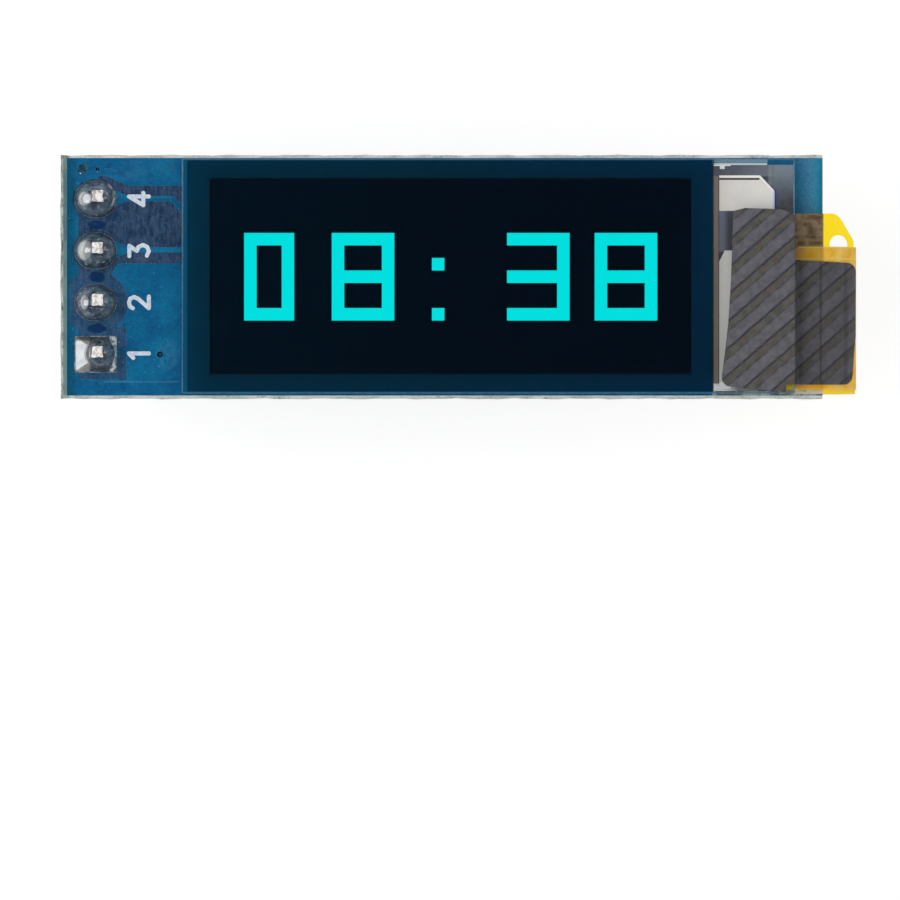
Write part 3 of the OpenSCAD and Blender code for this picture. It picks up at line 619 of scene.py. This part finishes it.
@recipe
def pin_metal(look):
    """Plated square wire. Its tail is tinned; the cut end is bright and torn."""
    top = PINS[0][1].z
    tail = look.above(look.z, top - 0.9, 0.05)
    cut_end = look.above(look.z, top - 0.07, 0.015)
    body = look.mottle((3, 3, 0.6, (6, 6, 0.4)), 0.35, 0.65, (196, 194, 188), (222, 220, 214))
    body = look.mix(tail, body, srgb(160, 166, 176))
    end = look.mottle((3.2, 3, 0.55, (1, 1, 1), (2, 5, 1)), 0.40, 0.58, (196, 190, 188), (255, 252, 248))
    rust = look.patches(0.56, 0.66, 3.6, 2, 0.5, shift=(7, 1, 3))
    pit = look.patches(0.62, 0.70, 5, 2, 0.5, shift=(1, 4, 9))
    end = look.wash(end, (rust, 0.7, 170, 142, 124), (pit, 0.8, 74, 78, 86))
    colour = look.mix(cut_end, body, end)
    metal = look.fit(cut_end, 0, 1, 1.0, 0.1)
    look.bump(look.mul(cut_end, look.noise(5, 3, 0.6)), 0.06)
    look.bump(look.noise(20, 2, 0.5, (1, 1, 0.2)), 0.003)
    return look.surface(colour, rough=look.fit(cut_end, 0, 1, 0.25, 0.5), metal=metal)


@recipe
def solder(look):
    """Bright tin-lead in a dark room: the dark room it mirrors is painted as slate blue, with painted highlights on
    the left and near the right rim, flux along its rim and a thin pale edge.
    """
    base = COPPER[1].z
    height = look.op("SUBTRACT", look.z, base)
    front = look.above(look.z, base - 0.01, 0.01)
    tone = look.mottle((2.4, 3), 0.35, 0.65, (220, 224, 230), (190, 198, 210))
    # painted reflection: the dark room mirrored in the solder, painted as slate blue, darker low on the dome
    painted_reflection = look.mottle((1.5, 4, 0.65), 0.35, 0.65, (32, 48, 68), (90, 110, 126))
    painted_reflection = look.mix(look.patches(0.54, 0.68, 4, 4, 0.65, shift=(4, 4, 4)), painted_reflection, srgb(140, 156, 166))
    painted_reflection = look.wash(painted_reflection, (look.invert(look.fit(height, 0.12, 0.34)), 0.7, 34, 44, 52))
    metal = look.surface(tone, rough=look.fit(look.noise(5, 2), 0.3, 0.7, 0.1, 0.2), metal=1.0)
    wave = look.wobble(0.08, 3, 3)
    low = look.add(height, wave)
    square = look.below(look.y, PIN_Y[0] + PIN_PITCH / 2, 0.05)
    # painted highlight: the square joint's left slope, and a soft pale patch left of each pin
    ramp = look.mul(square, look.below(look.x, -0.30, 0.1))
    painted_highlight = look.grey(0)
    for n, (wide, tall) in enumerate(((0.30, 0.42), (0.19, 0.34), (0.34, 0.46), (0.30, 0.34))):
        spot = look.add(look.distance(-0.50, PIN_Y[n], wide, tall), look.mul(wave, 6))
        painted_highlight = look.either(painted_highlight, look.invert(look.fit(spot, 0.8, 1.15)))
    painted_highlight = look.either(painted_highlight, ramp)
    dark_reflection_share = look.fit(painted_highlight, 0, 1, 0.90, 0.56)
    painted_reflection = look.mix(look.mul(painted_highlight, 0.9), painted_reflection, look.mottle((3, 3), 0.35, 0.65, (176, 178, 174), (206, 206, 198)))
    body = look.blend(look.mul(front, dark_reflection_share), metal, look.surface(painted_reflection, rough=0.45))
    crust = look.surface(look.mottle((3.5, 3), 0.35, 0.65, (46, 54, 58), (98, 98, 92)), rough=0.45)
    lump = look.distance(0.28, PIN_Y[0] + 0.02, 0.70, 0.80)
    outline = look.mul(look.between(look.add(lump, look.mul(wave, 2)), 0.78, 1.02, 0.06),
                       look.below(look.x, 0.5, 0.2))
    shelf = look.above(look.y, PIN_Y[0] + 0.66, 0.08)
    flux = look.mix(square, look.grey(look.invert(look.fit(low, 0.15, 0.25))),
                    look.grey(look.mul(look.either(outline, shelf), 0.95)))
    flux = look.mul(front, flux)
    rim = look.mul(front, look.invert(look.fit(height, 0.04, 0.075)))
    edge = look.surface(look.mottle((4, 2), 0.4, 0.6, (96, 118, 130), (200, 210, 212)), rough=0.4)
    # painted glints near the right rim: a streak on the square joint and a crescent on the fourth joint
    glint_streak = look.both(square, look.above(look.x, 0.7, 0.05), look.above(lump, 0.96, 0.05),
                       look.patches(0.34, 0.46, 2.6, 2))
    glint_arc = look.mul(look.between(look.distance(0, PIN_Y[3] + 0.08, 1, 0.88), 0.88, 0.99, 0.03),
                   look.above(look.x, 0.62, 0.1))
    rim = look.either(rim, look.mul(look.either(glint_streak, look.mul(glint_arc, 0.8)), front))
    look.grain(0.03, 2.4, 3)
    look.grain(0.006, 9, 3, 0.6)
    return look.blend(rim, look.blend(look.mul(flux, 0.9), body, crust), edge)


def oval_reach(angle, half_l, half_w):
    """Distance from the middle of a round-ended pad to its outline."""
    s = half_l - half_w
    c, d = abs(math.cos(angle)), math.sin(angle)
    return s * c + math.sqrt(half_w**2 - (s * d) ** 2)


def square_reach(angle, half_l, half_w):
    """The same for a square pad with slightly rounded corners."""
    c, d, power = abs(math.cos(angle)), abs(math.sin(angle)), 14
    return (c**power / half_l**power + d**power / half_w**power) ** (-1 / power)


def cap(t, h, bulge, rim):
    """A round cap of height h, at share t of the way from its middle to its rim."""
    return h * (math.sqrt(1 - (bulge * t) ** 2) - rim) / (1 - rim)


def round_rise(x, y, t, h, seed):
    """Height of an oval joint's surface at share t of the way from its middle to its rim."""
    body = cap(t, h, 0.87, 0.493)
    lump = 0.055 * noise.noise(Vector((x * 2.0, y * 2.0, seed)))
    return 0.015 + max(body + lump * (1 - t**6), 0)


def square_rise(x, y, t, h, seed):
    """A lump round the pin, on hipped slopes that fall to the sides of a square pad."""
    away = math.hypot((x - 0.18) / 0.80, (y - 0.02) / 0.86)
    lump = cap(away, h, 0.9, 0.436) if away < 1 else 0
    hips = min(0.44 * (x + 1.05), 0.62 * (0.92 - abs(y)), 0.5 * (1.05 - x))
    slopes = 0.05 + hips + 0.03 * noise.noise(Vector((x * 2.1, y * 2.1, seed)))
    return 0.02 + max(lump, slopes) * min(1, (1 - t) * 14)


def solder_joint(i, material):
    """One soldered pin: the joint on the front, and the plug through the hole."""
    name = f"pin_solder_{i}"
    lo, hi = box_mm(name)
    centre_y = (lo.y + hi.y) / 2
    half_l, half_w = (hi.x - lo.x) / 2, (hi.y - lo.y) / 2
    reach, rise = (square_reach, square_rise) if i == 1 else (oval_reach, round_rise)
    base, h = COPPER[1].z, hi.z - COPPER[1].z - 0.05
    around, rings, hole_r, seed = 96, 30, 0.5, i * 7.3
    points, faces = [], []
    for r in range(rings):
        t = 1 - (r / rings) ** 1.35
        for a in range(around):
            angle = 2 * math.pi * a / around
            d = reach(angle, half_l, half_w) * t
            x, y = d * math.cos(angle), d * math.sin(angle)
            z = base + (0 if r == 0 else rise(x, y, t, h, seed))
            points.append((x, centre_y + y, z))
    for r in range(rings - 1):
        faces += band(r * around, (r + 1) * around, around)
    points.append((0, centre_y, base + rise(0, 0, 0, h, seed)))
    top = len(points) - 1
    faces += [((rings - 1) * around + a, (rings - 1) * around + (a + 1) % around, top) for a in range(around)]
    first = len(points)
    for z in (base, lo.z):
        points += [(hole_r * c, centre_y + hole_r * d, z) for c, d in circle(around)]
    for pair in zip(band(first, 0, around), band(first + around, first, around)):
        faces += pair
    faces.append(tuple(first + around + a for a in reversed(range(around))))
    joint = piece(f"solder_joint_{i}", points, faces, material)
    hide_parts(name)


def cut_pin(i, material):
    """A header pin whose tail was bent a little when it was cut, with a torn, puffy end."""
    name = f"header_pin_{i}"
    lo, hi = PINS[i - 1]
    cx, cy, half = (lo.x + hi.x) / 2, (lo.y + hi.y) / 2, (hi.x - lo.x) / 2
    around, start = 48, FACE_Z - 0.4
    lean_x, lean_y = 0.19, 0.11
    levels = [(lo.z, 0.6), (lo.z + 0.2, 1.0), (start, 1.0)]
    levels += [(start + (hi.z - 0.1 - start) * k / 8, 1.0) for k in range(1, 9)]
    levels += [(hi.z - 0.05, 0.97), (hi.z - 0.015, 0.84), (hi.z - 0.005, 0.5), (hi.z - 0.02, 0.2)]
    points, faces = [], []
    for z, share in levels:
        lean = max(0, (z - start) / (hi.z - start)) ** 1.4
        torn = max(0, (z - (hi.z - 0.4)) / 0.4)
        for a in range(around):
            angle = 2 * math.pi * a / around
            c, d = math.cos(angle), math.sin(angle)
            r = half * (abs(c) ** 9 + abs(d) ** 9) ** (-1 / 9)
            rough_edge = noise.noise(Vector((c * 1.8 + 3.1 * i, d * 1.8, 0.5)))
            r *= 1 - torn * (0.15 * (0.5 + 0.5 * math.cos(4 * angle)) + 0.16 * rough_edge + 0.15 * abs(c))
            bump = torn * 0.05 * noise.noise(Vector((c * share * 2.5, d * share * 2.5 + 5.7 * i, 1.5)))
            points.append((cx + r * share * c + lean_x * lean, cy + r * share * d + lean_y * lean,
                           min(z + bump, hi.z)))
    for n in range(len(levels) - 1):
        faces += band(n * around, (n + 1) * around, around)
    faces.append(tuple(reversed(range(around))))
    faces.append(tuple((len(levels) - 1) * around + a for a in range(around)))
    pin = piece(f"cut_pin_{i}", points, faces, material)
    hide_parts(name)


# middle and radius of each via
VIAS = [(-0.65, BOARD[1].y - 0.7, 0.25), (0.1, BOARD[1].y - 0.72, 0.1), (3.17, -3.82, 0.15)]


@recipe
def lacquer_plug(look):
    """Vias closed by lacquer: a dark dimple with a paler rim."""
    colour = look.mottle((5, 3), 0.4, 0.6, (20, 62, 92), (74, 112, 128))
    for cx, cy, r in VIAS[1:]:
        colour = look.mix(look.disc(cx, cy, r * 0.95, 0.02), colour, srgb(12, 30, 62))
        colour = look.mix(look.disc(cx, cy, r * 0.4, 0.04), colour, srgb(44, 92, 124))
    cx, cy, r = VIAS[0]
    green = look.mul(look.disc(cx, cy, r * 0.8, 0.05), look.patches(0.3, 0.6, 5, 2))
    colour = look.wash(colour, (green, 0.9, 26, 68, 64))
    look.grain(0.02, 8, 3)
    return look.surface(colour, rough=0.6, specular=0.15)


def via_plugs(material):
    """A shallow dish in each via, front and back."""
    steps = 32
    for n, (cx, cy, r) in enumerate(VIAS):
        points, faces = [], []
        for share, drop in ((1.0, 0.04), (0.7, 0.07), (0.3, 0.1)):
            points += [(cx + share * r * c, cy + share * r * d, FACE_Z - drop) for c, d in circle(steps)]
        faces += band(0, steps, steps) + band(steps, 2 * steps, steps)
        faces.append(tuple(range(2 * steps, 3 * steps)))
        low = [(x, y, BOARD[0].z - (z - BOARD[1].z) * 0.5) for x, y, z in points]
        count = len(points)
        faces += [tuple(count + v for v in reversed(f)) for f in faces]
        piece(f"via_plug_{n + 1}", points + low, faces, material)


# Plain figures 1 to 4, each one stroke in a cell one high and six tenths wide
FIGURES = (
    [(0.12, 0.78), (0.34, 1.0), (0.34, 0.0)],
    [(0.02, 0.80), (0.10, 0.95), (0.30, 1.0), (0.50, 0.93), (0.58, 0.74), (0.50, 0.55), (0.02, 0.0), (0.60, 0.0)],
    [(0.04, 0.98), (0.56, 0.98), (0.30, 0.60), (0.50, 0.52), (0.60, 0.30), (0.50, 0.08), (0.28, 0.0), (0.06, 0.10)],
    [(0.44, 0.0), (0.44, 1.0), (0.0, 0.28), (0.62, 0.28)],
)


@recipe
def silk_ink(look):
    colour = look.mottle((7, 3), 0.4, 0.7, (222, 230, 240), (196, 210, 226))
    look.grain(0.006, 12, 3)
    return look.surface(colour, rough=0.55, specular=0.3)


def stroke_points(path, width, steps=10):
    """Outline pieces of a round-ended stroke: one capsule for each leg of the path."""
    for (ax, ay), (bx, by) in zip(path, path[1:]):
        heading = math.atan2(by - ay, bx - ax)
        ring = []
        for cx, cy, start in ((bx, by, heading - math.pi / 2), (ax, ay, heading + math.pi / 2)):
            ring += [(cx + width / 2 * math.cos(start + math.pi * k / steps),
                      cy + width / 2 * math.sin(start + math.pi * k / steps)) for k in range(steps + 1)]
        yield ring


def pin_figures(material):
    """Plain numbers 1 to 4 beside the pins, read from the lower long edge upwards."""
    height, width = 0.98, 0.2
    right = 2.62
    for n, (y, path) in enumerate(zip(PIN_Y, FIGURES)):
        points, faces = [], []
        legs = [(right - v * height, y - 0.3 * height + u * height) for u, v in path]
        for leg, ring in enumerate(stroke_points(legs, width)):
            z0, z1 = FACE_Z - 0.002, FACE_Z + 0.012 + 0.0004 * leg
            first, count = len(points), len(ring)
            points += [(px, py, z0) for px, py in ring] + [(px, py, z1) for px, py in ring]
            faces.append(tuple(first + count + k for k in range(count)))
            faces += band(first, first + count, count)
        piece(f"pin_figure_{n + 1}", points, faces, material, smooth=False)


# ---------------- display


@recipe
def clear_glass(look):
    """Clear on its faces; its ground sides are paler and slightly green."""
    body = look.thick_glass()
    beyond = look.above(look.x, LEDGE_X, 0.05)
    tone = look.mottle((3, 4, 0.7), 0.3, 0.7, (28, 92, 124), (60, 120, 150))
    pale = look.mul(beyond, look.either(look.upright(), look.facing_up()))
    ground = look.surface(look.mix(pale, tone, srgb(186, 208, 214)), rough=0.35)
    slant = look.op("ABSOLUTE", look.face_tilt())
    bevel = look.both(look.above(slant, 0.4, 0.1), look.below(slant, 0.9, 0.04))
    frosted = look.add(look.mul(look.upright(), look.fit(beyond, 0, 1, 0.06, 0.1)), look.mul(bevel, 0.9))
    # A pale line along the top of the ledge coat, and a fainter pale band above it, on the glass's upper face.
    line = look.area(LEDGE_X + 0.02, LEDGE_X + 2.62, COAT[1].y - 0.03, COAT[1].y + 0.05, 0.012)
    pale_patch = look.area(LEDGE_X + 0.02, LEDGE_X + 2.64, COAT[1].y, GLASS[1].y + 0.1, 0.015)
    pale_marks = look.mul(look.facing_up(), look.either(look.mul(line, 0.95), look.mul(pale_patch, 0.28)))
    return look.blend(look.either(frosted, pale_marks), body, ground)


def front_glass(material):
    """The glass again, a few microns higher, so that it shares no plane with the films flush under it."""
    mesh = NODES["display_glass"].data.copy()
    mesh.transform(Matrix.Translation((0, 0, GLASS_RISE / 1000)))
    mesh.materials.clear()
    made = own_piece("front_glass", mesh, material)
    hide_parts("display_glass")


@recipe
def rear_glass(look):
    tone = look.mottle((1.2, 3), 0.3, 0.7, (40, 100, 132), (56, 116, 146))
    tone = look.mix(look.facing_up(), tone, srgb(34, 92, 124))
    look.grain(0.003, 3, 3)
    return look.surface(tone, rough=0.2, specular=0.6)


@recipe
def polariser_film(look):
    """A grey filter: it darkens what lies below, and its edge shows a bluer line."""
    lo, hi = POLARISER
    up = look.facing_up()
    edge = look.invert(look.area(lo.x + 0.07, hi.x + 1, lo.y + 0.06, hi.y - 0.06, 0.015))
    tint = look.mix(edge, (0.447, 0.447, 0.447, 1), (0.12, 0.46, 0.52, 1))
    tint = look.mix(up, (1, 1, 1, 1), tint)
    body = look.blend(look.mul(look.mul(look.fresnel(1.35), up), 0.4), look.clear(tint), look.gloss(0.08))
    rim = look.surface(look.tones(look.noise(5, 2), (20, 44, 58), (34, 66, 84)), rough=0.3)
    return look.blend(look.mul(look.upright(), 0.35), body, rim)


def across_screen(look, left, middle, right):
    """A colour that drifts along the display, with a fine grain."""
    half = (GLASS[0].x + LEDGE_X) / 2
    colour = look.mix(look.fit(look.x, GLASS[0].x, half, smooth=False), left, middle)
    colour = look.mix(look.fit(look.x, half, LEDGE_X, smooth=False), colour, right)
    return look.speckle(colour, 22, 0.10)


@recipe
def seal_resin(look):
    colour = across_screen(look, srgb(12, 88, 124), srgb(12, 82, 118), srgb(12, 80, 122))
    look.grain(0.002, 8, 2)
    return look.surface(colour, rough=0.5, specular=0.0)


DOT_PITCH = 0.17  # of the dark screen
LIT_PITCH = 0.0767  # of the finer dots in the lit figures


@recipe
def pixel_black(look):
    colour = across_screen(look, srgb(2, 47, 72), srgb(1, 36, 61), srgb(1, 34, 57))
    colour = look.dim(colour, look.dots(DOT_PITCH, 0.94, 1.04))
    look.grain(0.001, 10, 2)
    return look.surface(colour, rough=0.5, specular=0.0)


@recipe
def lit_pixels(look):
    """Cyan light, so strong that it comes out right through the polariser."""
    glow = look.node("ShaderNodeEmission")
    look.feed(glow.inputs["Color"], look.dim((0.0, 1, 0.992, 1), look.dots(LIT_PITCH, 0.96, 1.03)))
    glow.inputs["Strength"].default_value = 1.74
    return glow.outputs[0]


# Block figures on a five by seven grid. The zero is four blocks wide.
BLOCKS = {
    "0": ["1111", *["1001"] * 5, "1111"],
    "8": ["11111", *["10001"] * 2] * 2 + ["11111"],
    ":": ["0", "0", "1", "0", "0", "0", "1"],
    "3": ["11111", *["00001"] * 2] * 2 + ["11111"],
}


def clock_blocks(material):
    """The lit figures, one flat block for each group of pixels."""
    pitch = 0.6135
    x0 = PIXELS[0].x + 1.585
    y0 = (PIXELS[0].y + PIXELS[1].y) / 2 + 2.12
    z = GLASS[0].z + 0.03
    for name, column in (("0", 0), ("8", 7), (":", 15), ("3", 21), ("8", 28)):
        corners, faces = {}, []
        for r, row in enumerate(BLOCKS[name]):
            for c, on in enumerate(row):
                if on == "1":
                    around = ((c, r + 1), (c + 1, r + 1), (c + 1, r), (c, r))
                    faces.append([corners.setdefault(at, len(corners)) for at in around])
        points = [(x0 + (column + c) * pitch, y0 - r * pitch, z) for c, r in corners]
        piece(f"lit_figure_{column}", points, faces, material, smooth=False)


# ---------------- ledge, flex circuit and tape


@recipe
def electrode(look):
    """Thin bright metal, whiter towards the tape and blue along its free edge."""
    colour = look.mottle((0.8, 3), 0.3, 0.7, (238, 235, 229), (230, 228, 223))
    low = look.below(look.y, 1.3)
    dull = look.mul(low, look.invert(look.fit(look.x, LEDGE_X + 0.36, LEDGE_X + 0.62)))
    x, y = FILM[1].x, FILM_TOP
    slant = look.add(look.mul(look.x, 0.76), look.mul(look.y, 0.71))
    corner = (x - 0.71) * 0.76 + y * 0.71
    upper = look.above(look.y, 2, 0.1)
    border = look.either(look.above(look.y, y - 0.1, 0.012), look.mul(look.above(slant, corner - 0.09, 0.012), upper))
    blue = look.mul(look.above(look.x, x - 0.08, 0.015), upper)
    # a dark line just under the white border of the film
    dark_line = look.area(LEDGE_X, x - 0.74, y - 0.22, y - 0.13, 0.012)
    left = look.area(LEDGE_X, LEDGE_X + 0.36, 3.0, y - 0.22)
    right_low = look.mul(low, look.above(look.x, LEDGE_X + 0.58, 0.1))
    colour = look.wash(colour, (dull, 0.8, 222, 224, 216), (border, 0.9, 254, 254, 254), (blue, 0.8, 190, 208, 248))
    colour = look.mix(dark_line, colour, srgb(44, 44, 50))
    colour = look.wash(colour, (left, 0.4, 222, 212, 176), (right_low, 0.7, 236, 236, 234))
    mark = look.above(look.op("ABSOLUTE", look.y), 5.2)
    colour = look.speckle(look.mix(mark, colour, srgb(246, 247, 247)), 12, 0.02)
    look.grain(0.002, 2, 2)
    return look.surface(colour, rough=0.5, specular=0.2)


@recipe
def ledge_resin_and_reflection(look):
    """Grey resin under the bare ledge, with the lines that edge the metal film. Its grey is partly a painted
    reflection of the room in the bare glass.
    """
    lo, hi = COAT
    colour = look.mottle((1.5, 3), 0.3, 0.7, (70, 72, 82), (84, 86, 94))
    # painted reflection: paler towards the upper right, past the film
    reflection_fade = look.mul(look.above(look.x, FILM[1].x - 0.1, 0.1), look.fit(look.y, 3.5, hi.y + 0.3))
    colour = look.wash(colour, (reflection_fade, 0.85, 132, 150, 164))
    upper = look.both(look.above(look.y, FILM_TOP - 0.05), look.fit(look.x, LEDGE_X, FILM[1].x, 0.15, 0.6))
    colour = look.mix(look.mul(upper, look.invert(reflection_fade)), colour, srgb(132, 140, 150))
    # painted glow: a paler strip left of the film's right edge
    glow = look.area(FILM[1].x - 0.30, FILM[1].x - 0.12, FILM_TOP - 0.5, hi.y + 1, 0.05)
    colour = look.wash(colour, (glow, 0.4, 150, 156, 160))
    slot = look.area(LEDGE_X + 0.3, LEDGE_X + 1.2, 1.2, 3.25)
    slot_tone = look.tones(look.fit(look.x, LEDGE_X + 0.45, LEDGE_X + 0.8), (120, 128, 146), (80, 82, 90))
    colour = look.mix(look.mul(slot, 0.85), colour, slot_tone)
    seam = look.area(LEDGE_X + 0.06, LEDGE_X + 0.26, lo.y + 0.1, 4.9, 0.03)
    pale = look.area(LEDGE_X - 0.1, LEDGE_X + 0.07, lo.y, 4.9, 0.03)
    navy = look.area(FILM[1].x, FILM[1].x + 0.09, 3.1, 4.25, 0.015)
    colour = look.wash(colour, (seam, 0.8, 150, 134, 120), (pale, 0.7, 128, 130, 134), (navy, 0.8, 44, 62, 128))
    patch = look.area(LEDGE_X, LEDGE_X + 2.2, lo.y - 0.1, lo.y + 0.36, 0.04)
    smear = look.tones(look.fit(look.x, LEDGE_X + 0.45, LEDGE_X + 1.3), (240, 240, 238), (140, 142, 142))
    colour = look.speckle(look.mix(look.mul(patch, 0.95), colour, smear), 9, 0.05)
    look.grain(0.006, 6, 3)
    return look.surface(colour, rough=0.55, specular=0.1)


@recipe
def yellow_film(look):
    """Clear yellow film. Over the board it carries a dense brown wiring pattern."""
    tint = look.clear((1.0, 0.875, 0.14, 1))
    yellow = look.tones(look.noise(1.4, 3), (255, 216, 16), (255, 226, 60))
    glaze = look.surface(yellow, rough=0.25, specular=0.3)
    solid = look.fit(look.y, FLEX[0].y + 0.55, FLEX[0].y + 0.4, 0.14, 0.75)
    film = look.blend(solid, tint, glaze)
    wires = look.waves(look.y, 0.31)
    copper = look.tones(look.fit(wires, -0.4, 0.4), (112, 90, 60), (80, 66, 44))
    copper = look.mix(look.patches(0.35, 0.7, 2.5, 3), copper, srgb(132, 110, 88))
    blot = look.mul(look.patches(0.44, 0.60, 2.0, 3, 0.6, (0.5, 2.2, 1)),
                    look.fit(look.distance(BOARD[1].x - 0.45, 2.5, 0.5, 1.0), 1.0, 0.4))
    copper = look.wash(copper, (blot, 0.7, 48, 38, 30))
    metal = look.surface(look.speckle(copper, 9, 0.12), rough=0.4)
    over = look.both(look.between(look.x, FLEX[0].x - 1, BOARD[1].x - 0.02, 0.05), look.above(look.z, FACE_Z, 0.1),
                     look.above(look.y, FLEX[0].y + 0.5, 0.05))
    glued = look.both(look.below(look.x, BOARD[1].x - 0.06, 0.05), look.above(look.z, FACE_Z, 0.1),
                      look.below(look.y, FLEX[0].y + 0.2, 0.03))
    glue = look.surface(look.mottle((2, 3), 0.38, 0.6, (124, 124, 120), (184, 184, 174)), rough=0.6)
    wired = look.blend(look.mul(over, 0.92), film, metal)
    return look.flush(look.blend(look.mul(glued, 0.9), wired, glue))


@recipe
def amber_film(look):
    tint = look.clear((0.98, 0.84, 0.40, 1))
    cloud = look.patches(0.3, 0.7, 1.6, 3, 0.6)
    rose = look.mul(look.below(look.x, BOARD[1].x - 0.9, 0.4), cloud)
    tone = look.mix(rose, look.tones(cloud, (240, 184, 26), (250, 206, 84)), srgb(214, 158, 104))
    lo, hi = COVER
    # painted highlights: paler lines along the cover's edges, and one along a fold above the tape
    edge = look.either(look.above(look.y, hi.y - 0.07, 0.015), look.below(look.y, lo.y + 0.07, 0.015),
                       look.between(look.y, hi.y - 0.64, hi.y - 0.57, 0.015),
                       look.below(look.x, lo.x + 0.06, 0.015))
    # painted highlight where the cover bends round the board's end
    folded = look.between(look.x, BOARD[1].x + 0.62, BOARD[1].x + 0.9, 0.12)
    tone = look.wash(tone, (folded, 0.4, 252, 222, 150), (edge, 0.7, 250, 216, 120))
    glaze = look.surface(tone, rough=0.3, specular=0.3)
    beyond = look.fit(look.x, BOARD[1].x - 0.1, BOARD[1].x + 0.1, 0.42, 0.76)
    return look.blend(beyond, tint, glaze)


@recipe
def striped_tape(look):
    """Matt grey tape. Slanting olive bands, each between a deep and a faint dark line."""
    slope, period = math.tan(math.radians(41)), 1.3135
    start = TAPE[0].y - TAPE[0].x * slope + 5.83
    height = look.add(look.op("SUBTRACT", look.y, look.mul(look.x, slope)), look.wobble(0.20, 3.4, 3, 0.6))
    turns = 40.0  # whole ones, which keep the phase above nought
    phase = look.op("FRACT", look.add(look.mul(height, -1 / period), start / period + turns))
    olive = look.between(phase, 0.04, 0.40, 0.03)
    deep = look.either(look.below(phase, 0.05, 0.05), look.above(phase, 0.95, 0.05))
    faint = look.between(phase, 0.35, 0.44, 0.04)
    shade = look.noise(2.4, 3, 0.6, shift=(3, 1, 0))
    grey = look.tones(look.fit(shade, 0.3, 0.7), (86, 86, 92), (101, 101, 108))
    tone = look.tones(look.fit(shade, 0.35, 0.7), (76, 75, 68), (90, 88, 82))
    tone = look.mix(look.mul(olive, 0.85), grey, tone)
    tone = look.mix(look.mul(deep, look.fit(shade, 0.3, 0.6, 0.6, 0.95)), tone, srgb(44, 44, 54))
    tone = look.mix(look.mul(faint, look.fit(shade, 0.3, 0.6, 0.75, 0.3)), tone, srgb(56, 56, 58))
    red = look.mul(look.patches(0.58, 0.70, 3.2, 2, 0.5, shift=(5, 2, 0)), olive)
    beyond = look.above(look.x, GLASS[1].x + 0.05, 0.08)
    # painted shade in the tape's creases: at the glass's right edge, before the board's end and past it
    crease_shade = look.either(look.between(look.x, GLASS[1].x, GLASS[1].x + 0.14, 0.05),
                         look.mul(look.between(look.x, BOARD[1].x - 0.2, BOARD[1].x - 0.1, 0.05), 0.8),
                         look.mul(look.between(look.x, BOARD[1].x + 1.0, BOARD[1].x + 1.2, 0.08), 0.5))
    tone = look.wash(tone, (red, 0.4, 112, 80, 62), (beyond, 0.33, 54, 54, 58), (crease_shade, 0.6, 34, 34, 40))
    tone = look.speckle(tone, 16, 0.10)
    look.bump(look.invert(look.either(deep, crease_shade)), 0.02)
    look.grain(0.012, 7, 4, 0.65)
    return look.surface(tone, rough=0.6, specular=0.25)


# ---------------- small parts behind the board


@recipe
def die_silicon(look):
    look.grain(0.002, 6, 2)
    return look.surface(look.speckle(srgb(92, 92, 100), 6, 0.12), rough=0.18, metal=0.5)


@recipe
def foam(look):
    pores = look.fit(look.cells(16), 0.0, 0.35)
    look.bump(pores, 0.02)
    return look.surface(look.tones(pores, (196, 196, 192), (228, 228, 224)), rough=0.85)


@recipe
def moulding(look):
    look.grain(0.008, 22, 4, 0.7)
    return look.surface(look.speckle(srgb(34, 34, 36), 12, 0.25), rough=0.6)


@recipe
def tin(look):
    look.grain(0.01, 9, 3)
    tone = look.mottle((4, 3), 0.3, 0.7, (206, 206, 208), (180, 181, 186))
    return look.surface(tone, rough=0.3, metal=0.95)


@recipe
def capacitor_ceramic(look):
    look.grain(0.005, 18, 3)
    tone = look.mottle((2, 3), 0.3, 0.7, (168, 142, 108), (150, 124, 92))
    return look.surface(look.speckle(tone, 14, 0.08), rough=0.45)


@recipe
def resistor_ceramic(look):
    glazed = look.below(look.z, box_mm("resistor_1")[0].z + 0.05, 0.01)
    tone = look.tones(glazed, (222, 220, 214), (26, 26, 30))
    look.grain(0.004, 12, 3)
    return look.surface(look.speckle(tone, 14, 0.08), rough=0.3)


# ---------------- putting it together

make_camera()
make_floor()
make_lights()

dress(laminate(), "circuit_board")
dress(front_lacquer(), "front_solder_mask")
dress(back_lacquer(), "back_solder_mask")
dress(tinned_copper(), "front_copper", "back_copper")
dress(header_plastic(), "header_housing")
PIN_METAL = pin_metal()
dress(PIN_METAL, *PIN_NAMES)
for number in range(1, 5):
    cut_pin(number, PIN_METAL)
SOLDER = solder()
dress(SOLDER, "flex_solder", *[f"pin_solder_{i}" for i in range(1, 5)])
for number in range(1, 5):
    solder_joint(number, SOLDER)
via_plugs(lacquer_plug())
pin_figures(silk_ink())

dress(foam(), "mounting_tape")
CLEAR_GLASS = clear_glass()
dress(CLEAR_GLASS, "display_glass")
front_glass(CLEAR_GLASS)
dress(rear_glass(), "cap_glass")
dress(seal_resin(), "edge_seal")
dress(pixel_black(), "pixel_layer")
dress(polariser_film(), "polariser")
clock_blocks(lit_pixels())

dress(electrode(), "electrode_film")
dress(ledge_resin_and_reflection(), "ledge_coat")
dress(die_silicon(), "driver_chip")
dress(yellow_film(), "flex_circuit")
dress(amber_film(), "flex_cover")
dress(striped_tape(), "shading_tape")
for folded in ("flex_circuit", "flex_cover", "shading_tape", "flex_solder"):
    round_shading(folded)

dress(moulding(), "regulator_body")
TIN = tin()
dress(TIN, "regulator_leads", *[n for n in NODES if n.endswith("_ends")])
for ceramic, stem in ((capacitor_ceramic(), "capacitor_"), (resistor_ceramic(), "resistor_")):
    dress(ceramic, *[n for n in NODES if n.startswith(stem) and not n.endswith("_ends")])

bpy.context.scene.view_settings.view_transform = "Standard"
